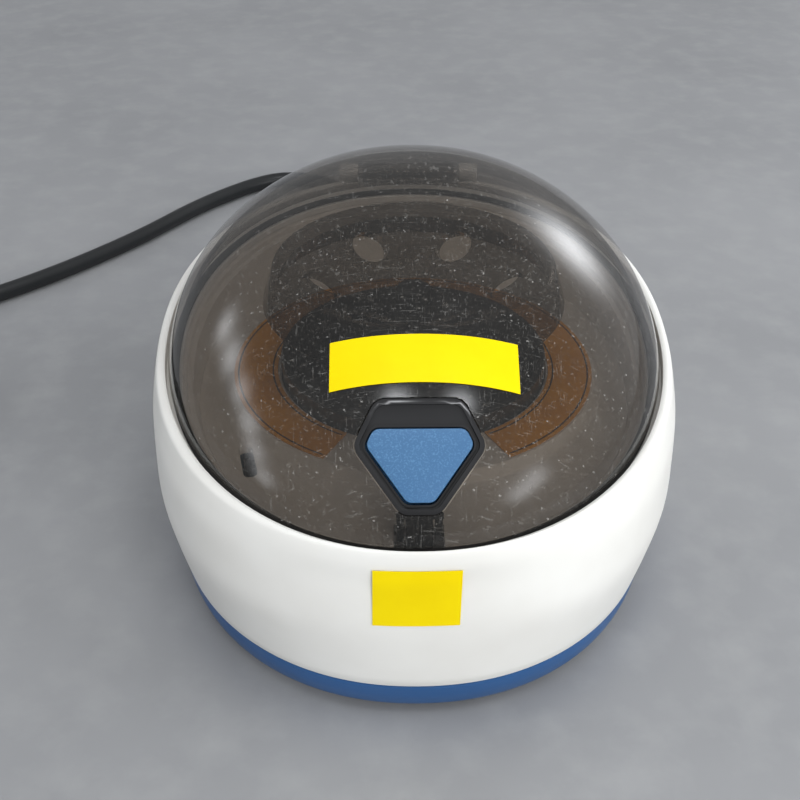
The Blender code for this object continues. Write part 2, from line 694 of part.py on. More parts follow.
def motor():
    """Motor hung under the well: can, end cap, rubber ring, armature on its shaft, and two bearings."""
    can = [(16.6, 44), (18.5, 44), (18.5, 13), (3.5, 13), (3.5, 14.6), (16.6, 14.6)]
    turned("motor_can", can, STEEL, ring=True)
    cap = [(3.5, 46.3), (18.5, 46.3), (18.5, 44.3), (3.5, 44.3)]
    turned("motor_cap", cap, BLACK, ring=True)
    ring = [(8, 48.7), (17, 48.7), (17, 46.6), (8, 46.6)]
    turned("motor_mount", ring, RUBBER, ring=True)
    armature = [(SHAFT_R + GAP, 38), (13, 38), (13, 20), (SHAFT_R + GAP, 20)]
    turned("motor_armature", armature, STEEL, ring=True)
    for name, z in (("upper_bearing", 44.4), ("lower_bearing", 13.0)):
        race = [(SHAFT_R + 0.1, z + 1.6), (3.2, z + 1.6), (3.2, z), (SHAFT_R + 0.1, z)]
        turned(name, race, STEEL, ring=True, steps=24)
    cylinder("motor_shaft", SHAFT_R, (0, 0, 12.4), (0, 0, 84.0), STEEL, sides=24)


def electronics():
    """Transformer, control board with its capacitor, and the interlock switch with its plunger."""
    box("transformer", (-52, -14, 5.0 + GAP), (-24, 17, 34), STEEL, bevel=1)
    box("control_board", (22, -26, 5.0 + GAP), (47, 30, 6.9), BOARD)
    cylinder("capacitor", 6, (35, 16, 6.9 + GAP), (35, 16, 28), BLACK)
    box("heat_sink", (27, -20, 6.9 + GAP), (43, -14, 26), STEEL, bevel=0.6)
    box("interlock_switch", (-51, -54, 40), (-41, -34, 47), BLACK, bevel=0.5)
    plunger = box("interlock_plunger", (-47.0, -46.8, 47.3 + 3.2), (-45.0, -41.2, 55.2), BLACK, bevel=0.4)
    plunger.rotation_euler = (0, 0, math.radians(12))


def rear_panel():
    """Rocker switch and the strain relief of the mains lead."""
    bezel = box("switch_frame", (SWITCH_X - 7.6, PANEL_Y + GAP, SWITCH_Z - 10.6),
                (SWITCH_X + 7.6, PANEL_Y + 1.8, SWITCH_Z + 10.6), BLACK, bevel=0.5)
    low, high = (SWITCH_X - 6.2, 68, SWITCH_Z - 9.2), (SWITCH_X + 6.2, PANEL_Y + 1, SWITCH_Z + 9.2)
    join(bezel, box("switch_case", low, high, None, group=cutters))
    low, high = (SWITCH_X - 4.8, 78, SWITCH_Z - 7.6), (SWITCH_X + 4.8, 95, SWITCH_Z + 7.6)
    cut(bezel, box("switch_pocket", low, high, None, group=cutters))
    profile = [(-3.2, -5.6), (3.4, -7.0), (1.6, 0), (3.4, 7.0), (-3.2, 5.6)]
    tilt = Matrix.Rotation(math.radians(-9), 4, "X")
    place = Matrix.Translation(metres((SWITCH_X, PANEL_Y - 1.6, SWITCH_Z))) @ tilt @ SIDE_PLACE
    prism("power_rocker", profile, -4.4, 4.4, place, BLACK)
    relief = [
        (0, 78), (5.0, 78), (5.0, PANEL_Y), (7.0, PANEL_Y + GAP), (7.0, PANEL_Y + 2.6),
        (5.6, PANEL_Y + 3.4), (4.2, RELIEF_END_Y), (0, RELIEF_END_Y),
    ]
    profile = [(r, -(y - 78)) for r, y in relief]
    sleeve = turned("strain_relief", profile, BLACK, (LEAD_X, 78, LEAD_Z), steps=20)
    sleeve.rotation_euler = (math.pi / 2, 0, 0)


# ---- mains lead ----------------------------------------------------------------------------------
def mains_lead():
    """The lead down to the bench and round to the left, its coil, tie and two-pin plug."""
    floor_z = CORD_R + 0.2
    route = [
        (LEAD_X, RELIEF_END_Y + GAP, LEAD_Z), (LEAD_X, RELIEF_END_Y + 3, LEAD_Z), (-11, 137, 27.2), (-11.3, 154, 21.5), (-12, 172, 13.6),
        (-13.5, 191, 7.0), (-16, 211, 4.2), (-21, 231, floor_z), (-31, 250, floor_z), (-45, 262, floor_z),
        (-61, 264, floor_z), (-75, 257, floor_z), (-90, 243, floor_z), (-104, 226.5, floor_z),
        (-122, 201, floor_z), (-142, 177, floor_z), (-160, 158.5, floor_z), (-178, 143, floor_z),
        (-200, 128, floor_z), (-224, 114, floor_z), (-245.5, 101, floor_z),
    ]
    tube("cord", smooth_route(route, 19), CORD_R, BLACK)
    ring = [
        (COIL_INNER_R, COIL_HEIGHT - 3), (COIL_INNER_R + 3, COIL_HEIGHT), (COIL_OUTER_R - 3, COIL_HEIGHT),
        (COIL_OUTER_R, COIL_HEIGHT - 3), (COIL_OUTER_R, 3.2), (COIL_OUTER_R - 3, 0.2),
        (COIL_INNER_R + 3, 0.2), (COIL_INNER_R, 3.2),
    ]
    turned("cord_coil", ring, BLACK, COIL_CENTRE, ring=True)
    tail = [(-261.9, 35.7, floor_z), (-257, 24, floor_z), (-252.2, 12, 5), (-247.6, 0, 7.2)]
    tube("cord_tail", smooth_route(tail, 14), CORD_R, BLACK)
    heading = Vector((-247.6 + 252.2, -12, 0)).normalized()
    aside = Vector((-heading.y, heading.x, 0))
    place = Matrix((
        (aside.x, heading.x, 0, 0), (aside.y, heading.y, 0, 0), (0, 0, 1, 0.0072), (0, 0, 0, 1)
    ))
    start = Vector((-247.6, 0, 0)) + heading * 4 * GAP
    place.translation += metres(start)
    shape = rounded([(-6, 0), (6, 0), (8, 10), (17.5, 20), (17.5, 36), (-17.5, 36), (-17.5, 20), (-8, 10)], 1.8)
    body = prism("plug_body", shape, -6.9, 6.9, place, BLACK)
    edges = body.modifiers.new("edges", "BEVEL")
    edges.width = 0.0016
    edges.segments = 2
    for name, x in (("plug_pin_left", -9.5), ("plug_pin_right", 9.5)):
        ends = [place @ metres((x, y, 0)) * 1000 for y in (36 + GAP, 55)]
        cylinder(name, 2.0, *ends, STEEL, sides=16)


base_pan()
upper_shell()
chamber_deck()
well_cup()
seal_and_labels()
feet_and_screws()
lid()
press_button()
latch()
rotor()
motor()
electronics()
rear_panel()
mains_lead()
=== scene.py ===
from math import asin, copysign, cos, pi, radians, sin, tan

import bmesh
import bpy
import numpy as np
from mathutils import Matrix, Vector


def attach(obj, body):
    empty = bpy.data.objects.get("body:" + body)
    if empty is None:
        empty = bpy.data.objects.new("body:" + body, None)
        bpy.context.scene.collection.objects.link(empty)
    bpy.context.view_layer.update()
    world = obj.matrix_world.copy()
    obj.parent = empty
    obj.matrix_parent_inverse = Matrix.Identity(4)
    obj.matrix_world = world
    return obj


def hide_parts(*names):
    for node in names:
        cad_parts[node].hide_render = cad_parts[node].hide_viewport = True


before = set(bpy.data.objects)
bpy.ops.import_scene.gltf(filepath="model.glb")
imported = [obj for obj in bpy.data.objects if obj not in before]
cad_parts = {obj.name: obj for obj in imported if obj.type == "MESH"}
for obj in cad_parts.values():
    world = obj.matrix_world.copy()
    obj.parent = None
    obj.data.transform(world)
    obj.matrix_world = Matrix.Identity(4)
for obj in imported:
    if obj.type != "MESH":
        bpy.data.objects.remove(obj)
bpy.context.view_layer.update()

scene = bpy.context.scene
MM = 0.001

# ---- camera: the photograph's own view, a little to the left of the housing's front ----
VIEW_TURN = -0.012
CAMERA_AT = (-3.9, -300.5, 252.0)
CAMERA_PITCH = 34.4
camera_data = bpy.data.cameras.new("camera")
camera_data.lens = 52.92
camera_data.sensor_width = 36
camera_data.clip_start = 0.01
camera = bpy.data.objects.new("camera", camera_data)
turn = Matrix.Rotation(VIEW_TURN, 4, "Z")
camera.matrix_world = (
    turn
    @ Matrix.Translation(Vector(CAMERA_AT) * MM)
    @ Matrix.Rotation(radians(90 - CAMERA_PITCH), 4, "X")
)
scene.collection.objects.link(camera)
scene.camera = camera
scene.view_settings.view_transform = "Standard"
scene.cycles.transparent_max_bounces = 32


# ---- the design's dimensions, as in the CAD source, in millimetres ----
SPLIT_Z = 13.4
WALL = 2.2
RIM_Z, RIM_SLOPE = 72.0, 0.12
RIM_A, RIM_FRONT, RIM_BACK = 71.4, 86.6, 83.2
DOME_TOP_Z, DOME_TOP_Y = 115.2, 16.5
DOME_SIDE_POWER, DOME_RISE_POWER = 1.9, 1.6
LID_WALL = 2.2
LEDGE_DROP = 3.2
DECK_Z, COLLAR_R, COLLAR_Z = 56.3, 54.3, 59.6
WELL_R, WELL_TOP_Z, WELL_FLOOR_Z = 39.5, 65.0, 51.0
ROTOR_RIM_R, ROTOR_RIM_Z = 39.0, 95.0
ROTOR_SKIRT_R, ROTOR_SKIRT_Z = 44.0, 83.0
ROTOR_WALL = 2.4
TUBES, TUBES_R = 6, 25.5
SHAFT_R = 1.5
HINGE, HINGE_R, HINGE_PIN_R = (85.0, 84.5), 3.4, 1.5
KNUCKLE_HALF, LUG_INNER, LUG_OUTER = 16.0, 17.5, 24.0
BUTTON_CENTRE = Vector((0, -76.5, 79.5))
BUTTON_ELEVATION = radians(40)
LATCH_PIVOT = (-77.1, 59.1)
PANEL_Y, PANEL_HALF = 85.8, 23.0
SWITCH_X, SWITCH_Z = 12.0, 29.5
LEAD_X, LEAD_Z = -11.0, 29.0
RELIEF_END_Y = 120.0
CORD_R = 3.5
COIL_CENTRE = Vector((-214, 58, 0))
WIDEST_Z, HALF_WIDTH, HALF_DEPTH = 47.0, 76.7, 89.3
RIM_POWER, HOUSING_POWER = 2.1, 2.35
TAPER_Z, TAPER = 53, 0.5 / 6
SIDES = 192


# ---- material helpers ----
class Finish:
    """A procedural material: a Principled shader with noise-driven colour, roughness and relief."""

    def __init__(self, name, colour, roughness, **sockets):
        self.made = bpy.data.materials.new(name)
        self.made.use_nodes = True
        self.tree = self.made.node_tree
        self.shader = self.tree.nodes["Principled BSDF"]
        self.colour = (*colour, 1)
        self.shader.inputs["Base Color"].default_value = self.colour
        self.shader.inputs["Roughness"].default_value = roughness
        for socket, value in sockets.items():
            self.shader.inputs[socket.replace("_", " ")].default_value = value
        self.coordinates = self.node("ShaderNodeTexCoord").outputs["Object"]
        self.normal = None

    def node(self, kind, **settings):
        made = self.tree.nodes.new(kind)
        for key, value in settings.items():
            setattr(made, key, value)
        return made

    def link(self, start, end):
        self.tree.links.new(start, end)

    def stretched(self, stretch):
        mapping = self.node("ShaderNodeMapping")
        mapping.inputs["Scale"].default_value = stretch
        self.link(self.coordinates, mapping.inputs["Vector"])
        return mapping.outputs["Vector"]

    def noise(self, scale, detail=4.0, stretch=(1, 1, 1), rough=0.55):
        made = self.node("ShaderNodeTexNoise")
        made.inputs["Scale"].default_value = scale
        made.inputs["Detail"].default_value = detail
        made.inputs["Roughness"].default_value = rough
        self.link(self.stretched(stretch), made.inputs["Vector"])
        return made.outputs["Fac"]

    def span(self, value, low, high, to_low, to_high):
        made = self.node("ShaderNodeMapRange")
        for name, number in zip(("From Min", "From Max", "To Min", "To Max"), (low, high, to_low, to_high)):
            made.inputs[name].default_value = number
        self.link(value, made.inputs["Value"])
        return made.outputs["Result"]

    def tint(self, value, other):
        """Base colour between the finish's own and another, by value."""
        mix = self.node("ShaderNodeMix", data_type="RGBA")
        base = self.shader.inputs["Base Color"]
        if base.links:
            self.link(base.links[0].from_socket, mix.inputs[6])
        else:
            mix.inputs[6].default_value = self.colour
        mix.inputs[7].default_value = (*other, 1)
        self.link(value, mix.inputs[0])
        self.link(mix.outputs[2], base)
        return self

    def mottle(self, other, scale, detail, low, high, amount=1, stretch=(1, 1, 1)):
        """Patches of another colour, where noise goes from low to high."""
        return self.tint(self.span(self.noise(scale, detail, stretch), low, high, 0, amount), other)

    def maths(self, operation, *values):
        """The result of a maths node on numbers or sockets."""
        made = self.node("ShaderNodeMath", operation=operation)
        for socket, value in zip(made.inputs, values):
            if isinstance(value, (int, float)):
                socket.default_value = value
            else:
                self.link(value, socket)
        return made.outputs[0]

    def blend(self, weight, first, second):
        """Two shaders mixed by weight."""
        made = self.node("ShaderNodeMixShader")
        for socket, value in zip(made.inputs, (weight, first, second)):
            self.link(value, socket)
        return made.outputs[0]

    def rough(self, value, low, high):
        self.link(self.span(value, 0.3, 0.7, low, high), self.shader.inputs["Roughness"])
        return self

    def relief(self, value, strength, distance):
        bump = self.node("ShaderNodeBump")
        bump.inputs["Strength"].default_value = strength
        bump.inputs["Distance"].default_value = distance * MM
        self.link(value, bump.inputs["Height"])
        if self.normal is not None:
            self.link(self.normal, bump.inputs["Normal"])
        self.normal = bump.outputs["Normal"]
        self.link(self.normal, self.shader.inputs["Normal"])
        return self


def moulded(name, colour, roughness, shade, grain=0.10, **sockets):
    """Moulded plastic: fine spark-eroded grain, slow colour drift and uneven gloss."""
    made = Finish(name, colour, roughness, **sockets)
    made.mottle(shade, 28, 3, 0.35, 0.7)
    made.rough(made.noise(90, 5), roughness * 0.88, roughness * 1.15)
    made.relief(made.noise(2600, 2), grain, 0.05)
    made.relief(made.noise(120, 3), 0.05, 0.15)
    return made


SMOKED_IOR = 1.44
DUST = (0.62, 0.61, 0.58, 1)


def smoked(name, clear, surface, roughness, haze, dust, scratches):
    """Smoked clear plastic: see-through and tinted, with outside gloss, fine scratches and a little dust."""
    made = Finish(name, surface, roughness)
    made.relief(made.noise(70, 6, (1, 14, 3), 0.7), 0.018, 0.05)
    made.relief(made.noise(60, 6, (16, 1, 2), 0.7), 0.014, 0.05)
    through = made.node("ShaderNodeBsdfTransparent")
    through.inputs["Color"].default_value = (*clear, 1)
    matte = made.node("ShaderNodeBsdfDiffuse")
    matte.inputs["Color"].default_value = DUST
    specks = made.span(made.noise(900, 1), 0.71, 0.78, 0, dust)
    patches = made.span(made.noise(30, 5), 0.45, 0.8, haze * 0.4, haze)
    film = made.maths("ADD", specks, patches)
    for scale, stretch in ((150, (1, 22, 4)), (170, (18, 2, 1)), (130, (5, 1, 20))):
        lines = made.span(made.noise(scale, 2, stretch), 0.65, 0.69, 0, scratches)
        film = made.maths("ADD", film, lines)
    dusty = made.blend(film, through.outputs[0], matte.outputs[0])

    mirror = made.node("ShaderNodeFresnel")
    mirror.inputs["IOR"].default_value = SMOKED_IOR
    made.link(made.normal, mirror.inputs["Normal"])
    front = made.maths("SUBTRACT", 1, made.node("ShaderNodeNewGeometry").outputs["Backfacing"])
    gloss = made.node("ShaderNodeBsdfGlossy")
    gloss.inputs["Roughness"].default_value = roughness
    gloss.inputs["Color"].default_value = (1, 1, 1, 1)
    made.link(made.normal, gloss.inputs["Normal"])
    outward = made.maths("MULTIPLY", mirror.outputs[0], front)
    seen = made.blend(outward, dusty, gloss.outputs[0])
    made.link(seen, made.tree.nodes["Material Output"].inputs["Surface"])
    return made


WHITE = moulded("white_plastic", (0.765, 0.765, 0.74), 0.42, (0.71, 0.705, 0.675), 0.10)
DECK_WHITE = moulded("chamber_plastic", (0.74, 0.71, 0.66), 0.40, (0.66, 0.62, 0.56), 0.06)
BLUE = moulded("blue_plastic", (0.020, 0.088, 0.245), 0.38, (0.018, 0.078, 0.215), 0.12)
BLACK = moulded("black_plastic", (0.010, 0.010, 0.011), 0.075, (0.015, 0.015, 0.016), 0.012)
SATIN_BLACK = moulded("black_satin_plastic", (0.016, 0.016, 0.017), 0.36, (0.025, 0.025, 0.026), 0.12)
WELL_BLACK = moulded("well_plastic", (0.020, 0.021, 0.021), 0.30, (0.028, 0.029, 0.028), 0.06)
RUBBER = moulded("black_rubber", (0.018, 0.018, 0.018), 0.75, (0.03, 0.03, 0.03), 0.25)
PVC = moulded("cord_jacket", (0.008, 0.009, 0.010), 0.36, (0.014, 0.015, 0.016), 0.12)
LID = smoked("smoked_lid", (0.60, 0.58, 0.56), (0.1, 0.09, 0.08), 0.03, 0.018, 0.28, 0.09)
ROTOR = smoked("smoked_rotor", (0.57, 0.56, 0.55), (0.1, 0.1, 0.1), 0.09, 0.02, 0.02, 0.0)

PEARL = Finish(
    "button_pearl", (0.048, 0.14, 0.285), 0.34, Metallic=0.12, Coat_Weight=0.4, Coat_Roughness=0.15
)
PEARL.mottle((0.09, 0.225, 0.41), 2200, 1, 0.5, 0.75)
PEARL.mottle((0.038, 0.12, 0.26), 40, 3, 0.4, 0.75, 0.6)
PEARL.rough(PEARL.noise(300, 3), 0.28, 0.42)
PEARL.relief(PEARL.noise(2400, 2), 0.16, 0.05)

TAPE = Finish("yellow_tape", (0.82, 0.64, 0.001), 0.42, Specular_IOR_Level=0.12)
TAPE.mottle((0.76, 0.57, 0.0), 60, 4, 0.4, 0.75, 0.7)
TAPE.relief(TAPE.noise(90, 3, (1, 3, 1)), 0.12, 0.3)
TAPE.relief(TAPE.noise(1400, 3), 0.06, 0.05)
TAPE.rough(TAPE.noise(200, 3), 0.30, 0.44)

AMBER = Finish("amber_label", (0.84, 0.38, 0.03), 0.42)
AMBER.mottle((0.70, 0.30, 0.04), 50, 4, 0.4, 0.7, 0.8)
AMBER.relief(AMBER.noise(500, 3), 0.08, 0.05)
AMBER.rough(AMBER.noise(150, 3), 0.34, 0.5)

LINE = Finish("label_line", (0.05, 0.03, 0.02), 0.5)
LINE.rough(LINE.noise(150, 3), 0.4, 0.6)

STEEL = Finish("steel", (0.60, 0.60, 0.61), 0.28, Metallic=1.0)
STEEL.rough(STEEL.noise(200, 5, (1, 1, 9)), 0.20, 0.38)
STEEL.relief(STEEL.noise(600, 3, (1, 1, 12)), 0.06, 0.03)
STEEL.mottle((0.50, 0.50, 0.50), 30, 3, 0.4, 0.7, 0.5)

BOARD = Finish("circuit_board", (0.02, 0.15, 0.07), 0.4)
BOARD.mottle((0.06, 0.26, 0.12), 220, 2, 0.55, 0.57, 0.6, (1, 5, 1))
BOARD.relief(BOARD.noise(300, 2, (1, 5, 1)), 0.1, 0.05)
BOARD.rough(BOARD.noise(150, 3), 0.3, 0.5)


# ---- mesh helpers ----
def add(name, mesh, finish=None, sharp=38):
    made = bpy.data.objects.new(name, mesh)
    scene.collection.objects.link(made)
    if finish is not None:
        mesh.materials.append(finish.made)
    mesh.shade_smooth()
    mesh.set_sharp_from_angle(angle=radians(sharp))
    return made


def mesh_of(name, build):
    grid = bmesh.new()
    build(grid)
    bmesh.ops.recalc_face_normals(grid, faces=grid.faces)
    if grid.calc_volume(signed=True) < 0:
        bmesh.ops.reverse_faces(grid, faces=grid.faces)
    mesh = bpy.data.meshes.new(name)
    grid.to_mesh(mesh)
    grid.free()
    return mesh


def vertices(grid, points):
    """New vertices at points in millimetres."""
    return [grid.verts.new(Vector(point) * MM) for point in points]


def skin(grid, rows):
    """Faces from each closed row of vertices to the next."""
    for low, high in zip(rows, rows[1:]):
        for i in range(len(low)):
            j = (i + 1) % len(low)
            grid.faces.new((low[i], low[j], high[j], high[i]))


def loft(name, rings, finish, closed=True, sharp=38):
    """Skin over rings with the same number of points, which meets its first ring again or has flat ends."""

    def build(grid):
        rows = [vertices(grid, ring) for ring in rings]
        skin(grid, rows + rows[:1] if closed else rows)
        if not closed:
            grid.faces.new(rows[0])
            grid.faces.new(rows[-1])

    return add(name, mesh_of(name, build), finish, sharp)


def turned(name, profile, finish, at=(0, 0, 0), steps=128, along="Z"):
    """A closed or axis-to-axis profile of (radius, height), turned about Z or Y, with merged poles."""
    angles = [2 * pi * i / steps for i in range(steps)]
    rings = [[(r * cos(a), r * sin(a), z) for a in angles] for r, z in profile]

    def build(grid):
        rows = []
        for (r, z), ring in zip(profile, rings):
            if r < 1e-6:
                rows.append([grid.verts.new((0, 0, z * MM))] * steps)
            else:
                rows.append(vertices(grid, ring))
        loop = profile[0][0] > 1e-6
        for low, high in zip(rows, rows[1:] + (rows[:1] if loop else [])):
            for i in range(steps):
                j = (i + 1) % steps
                corners = []
                for vertex in (low[i], low[j], high[j], high[i]):
                    if vertex not in corners:
                        corners.append(vertex)
                if len(corners) > 2:
                    grid.faces.new(corners)
        spin = Matrix.Rotation(-pi / 2, 4, "X") if along == "Y" else Matrix()
        bmesh.ops.transform(grid, matrix=Matrix.Translation(Vector(at) * MM) @ spin, verts=grid.verts)

    return add(name, mesh_of(name, build), finish)


def soften(profile, radius, steps=4):
    """A closed profile with each corner replaced by an arc of up to radius."""
    points = [Vector(point) for point in profile]
    result = []
    for i, corner in enumerate(points):
        before, after = points[i - 1] - corner, points[(i + 1) % len(points)] - corner
        reach = min(radius, before.length * 0.45, after.length * 0.45)
        start, end = corner + before.normalized() * reach, corner + after.normalized() * reach
        for step in range(steps + 1):
            t = step / steps
            result.append((1 - t) ** 2 * start + 2 * t * (1 - t) * corner + t * t * end)
    return [tuple(point) for point in result]


def bevel(grid, edges, width, segments):
    bmesh.ops.bevel(grid, geom=edges, offset=width * MM, segments=segments, profile=0.5, affect="EDGES")


def box(name, low, high, finish=None, edge=0.0, segments=3):
    def build(grid):
        bmesh.ops.create_cube(grid, size=1)
        size = [(b - a) * MM for a, b in zip(low, high)]
        bmesh.ops.scale(grid, vec=size, verts=grid.verts)
        middle = Vector([(a + b) / 2 * MM for a, b in zip(low, high)])
        bmesh.ops.translate(grid, vec=middle, verts=grid.verts)
        if edge:
            bevel(grid, grid.edges[:], edge, segments)

    return add(name, mesh_of(name, build), finish)


def bar(name, radius, start, end, finish=None, sides=48, edge=0.0):
    """A straight round bar between two points, with softened ends."""
    start, end = Vector(start), Vector(end)

    def build(grid):
        length = (end - start).length
        bmesh.ops.create_cone(
            grid, cap_ends=True, segments=sides, radius1=radius * MM, radius2=radius * MM, depth=length * MM
        )
        aim = (end - start).to_track_quat("Z", "Y").to_matrix().to_4x4()
        bmesh.ops.transform(grid, matrix=Matrix.Translation((start + end) / 2 * MM) @ aim, verts=grid.verts)
        if edge:
            rims = [e for e in grid.edges if sum(len(f.verts) > 4 for f in e.link_faces) == 1]
            bevel(grid, rims, edge, 3)

    return add(name, mesh_of(name, build), finish)


def across(half, pivot):
    """Both ends of a line from side to side through a pivot at (y, z)."""
    return (-half, *pivot), (half, *pivot)


def prism(name, outline_points, low, high, place, finish=None, edge=0.0, segments=3, sharp=38):
    """A flat outline raised from low to high along the third axis of place, with softened rims."""

    def build(grid):
        levels = [vertices(grid, [(x, y, z) for x, y in outline_points]) for z in (low, high)]
        faces = [grid.faces.new(level) for level in levels]
        skin(grid, levels)
        if edge:
            rims = list({e for face in faces for e in face.edges})
            bevel(grid, rims, edge, segments)
        bmesh.ops.transform(grid, matrix=place, verts=grid.verts)

    return add(name, mesh_of(name, build), finish, sharp)


def wire(name, points, radius, finish, resolution):
    """A round wire through points in metres, with a radius in millimetres."""
    curve = bpy.data.curves.new(name, "CURVE")
    curve.dimensions = "3D"
    curve.bevel_depth = radius * MM
    curve.bevel_resolution = resolution
    curve.use_fill_caps = True
    line = curve.splines.new("POLY")
    line.points.add(len(points) - 1)
    for point, place in zip(line.points, points):
        point.co = (*place, 1)
    line.use_smooth = True
    made = bpy.data.objects.new(name, curve)
    scene.collection.objects.link(made)
    curve.materials.append(finish.made)
    return made


def cut(tool):
    return "DIFFERENCE", tool


def join(tool):
    return "UNION", tool


def shaped(target, *steps, edge=0.0, angle=40, segments=3, sharp=38):
    """Applies Booleans, each (operation, tool), and then an optional edge softening, to the target's mesh."""
    for operation, tool in steps:
        step = target.modifiers.new("step", "BOOLEAN")
        step.operation = operation
        step.solver = "EXACT"
        step.object = tool
    if edge:
        soft = target.modifiers.new("soft", "BEVEL")
        soft.width = edge * MM
        soft.segments = segments
        soft.limit_method = "ANGLE"
        soft.angle_limit = radians(angle)
    bpy.context.view_layer.update()
    evaluated = target.evaluated_get(bpy.context.evaluated_depsgraph_get())
    mesh = bpy.data.meshes.new_from_object(evaluated)
    finish = list(target.data.materials)
    target.modifiers.clear()
    target.data = mesh
    mesh.materials.clear()
    for item in finish:
        mesh.materials.append(item)
    mesh.polygons.foreach_set("material_index", np.zeros(len(mesh.polygons), np.int32))
    mesh.shade_smooth()
    mesh.set_sharp_from_angle(angle=radians(sharp))
    for _, tool in steps:
        bpy.data.objects.remove(tool)
    return target


def outline(half_width, front, back, power, height, sides=SIDES):
    """A ring on a superellipse with its own depth in front and behind, at a height or on a plane."""
    ring = []
    for i in range(sides):
        angle = 2 * pi * i / sides
        cosine, sine = cos(angle), sin(angle)
        depth = back if sine > 0 else front
        x = half_width * copysign(abs(cosine) ** (2 / power), cosine)
        y = depth * copysign(abs(sine) ** (2 / power), sine)
        ring.append((x, y, height(y) if callable(height) else height))
    return ring


def rim_plane(offset):
    """The slanting plane on which lid and housing meet, moved up by offset."""
    return lambda y: RIM_Z + offset + RIM_SLOPE * y


def rim(grow, offset):
    """The line where lid and housing meet, grown sideways and moved up."""
    return outline(RIM_A + grow, RIM_FRONT + grow, RIM_BACK + grow, RIM_POWER, rim_plane(offset))


def housing(grow, height):
    return outline(HALF_WIDTH + grow, HALF_DEPTH + grow, HALF_DEPTH + grow, HOUSING_POWER, height)


def widest_plane(offset):
    return lambda y: WIDEST_Z + offset + 0.4 * RIM_SLOPE * y


def circle(radius, height):
    return outline(radius, radius, radius, 2, height)


def on_curve(a, b, c, d, t):
    """The point at t, from 0 to 1, between b and c on a Catmull-Rom curve through all four."""
    return 0.5 * (2 * b + (c - a) * t + (2 * a - 5 * b + 4 * c - d) * t**2 + (3 * b - a - 3 * c + d) * t**3)


def smooth_rings(rings, between):
    """More rings on a Catmull-Rom curve through the given ones."""
    rows = [np.array(ring, float) for ring in rings]
    rows = [2 * rows[0] - rows[1], *rows, 2 * rows[-1] - rows[-2]]
    result = []
    for a, b, c, d in zip(rows, rows[1:], rows[2:], rows[3:]):
        result += [on_curve(a, b, c, d, i / between) for i in range(between)]
    return [ring.tolist() for ring in result + [rows[-2]]]


def dome_ring(turn, inset=0.0):
    """The dome's outline at a turn from the rim, 0, to the top, a quarter turn."""
    close = cos(turn) ** (2 / DOME_SIDE_POWER)
    rise = sin(turn) ** (2 / DOME_RISE_POWER)
    ring = []
    for x, y, _ in rim(-inset, 0):
        z = RIM_Z + RIM_SLOPE * y * (1 - rise) + (DOME_TOP_Z - RIM_Z - inset) * rise
        ring.append((x * close, y * close + DOME_TOP_Y * (1 - close), z))
    return ring


def dome_height(x, y):
    """The height of the dome's surface over a point, found by halving."""
    low, high = 0.0, 1.0
    for _ in range(40):
        rise = (low + high) / 2
        turn = asin(rise ** (DOME_RISE_POWER / 2))
        close = max(cos(turn) ** (2 / DOME_SIDE_POWER), 1e-6)
        across = x / close
        along = (y - DOME_TOP_Y * (1 - close)) / close
        depth = RIM_BACK if along > 0 else RIM_FRONT
        inside = abs(across / RIM_A) ** RIM_POWER + abs(along / depth) ** RIM_POWER < 1
        low, high = (rise, high) if inside else (low, rise)
    return RIM_Z + RIM_SLOPE * along * (1 - rise) + (DOME_TOP_Z - RIM_Z) * rise


DOME_TURNS = [radians(90) * (i / 44) ** 1.15 for i in range(44)]


def crown(grid, ring, inset):
    """Faces from the dome's last ring to its top."""
    top = grid.verts.new(Vector((0, DOME_TOP_Y, DOME_TOP_Z - inset)) * MM)
    for i in range(SIDES):
        grid.faces.new((ring[i], ring[(i + 1) % SIDES], top))


def dome_solid(name):
    """The space under the dome's surface, closed at the rim."""

    def build(grid):
        rows = [vertices(grid, dome_ring(turn)) for turn in DOME_TURNS]
        skin(grid, rows)
        crown(grid, rows[-1], 0)
        grid.faces.new(rows[0])

    return add(name, mesh_of(name, build))


def dome_shell(name, finish):
    """The dome's wall, with a rounded rim. The turns next to the rim, too close for that, are left out."""
    lip = 0.5

    def build(grid):
        turns = DOME_TURNS[:1] + DOME_TURNS[3:]
        outer = [dome_ring(t) for t in turns]
        inner = [dome_ring(t, LID_WALL) for t in turns]
        outer[0] = [(x, y, z + lip) for x, y, z in outer[0]]
        inner[0] = [(x, y, z + lip) for x, y, z in inner[0]]
        rings = inner[::-1] + [dome_ring(0, LID_WALL - lip), dome_ring(0, lip)] + outer
        rows = [vertices(grid, ring) for ring in rings]
        skin(grid, rows)
        crown(grid, rows[0], LID_WALL)
        crown(grid, rows[-1], 0)

    return add(name, mesh_of(name, build), finish)


BUTTON_PLACE = Matrix.Translation(BUTTON_CENTRE * MM) @ Matrix(
    (
        (1, 0, 0, 0),
        (0, sin(BUTTON_ELEVATION), -cos(BUTTON_ELEVATION), 0),
        (0, cos(BUTTON_ELEVATION), sin(BUTTON_ELEVATION), 0),
        (0, 0, 0, 1),
    )
)
SIDE_PLACE = Matrix(((0, 0, 1, 0), (1, 0, 0, 0), (0, 1, 0, 0), (0, 0, 0, 1)))


def rounded(corners, radius, steps=8):
    """A closed outline with an arc of one radius at each corner."""
    points = []
    corners = [Vector(corner) for corner in corners]
    for i, corner in enumerate(corners):
        before = (corners[i - 1] - corner).normalized()
        after = (corners[(i + 1) % len(corners)] - corner).normalized()
        half = before.angle(after) / 2
        centre = corner + (before + after).normalized() * (radius / sin(half))
        first = corner + before * (radius / tan(half)) - centre
        last = corner + after * (radius / tan(half)) - centre
        for step in range(steps + 1):
            points.append(centre + first.slerp(last, step / steps) * radius)
    return points


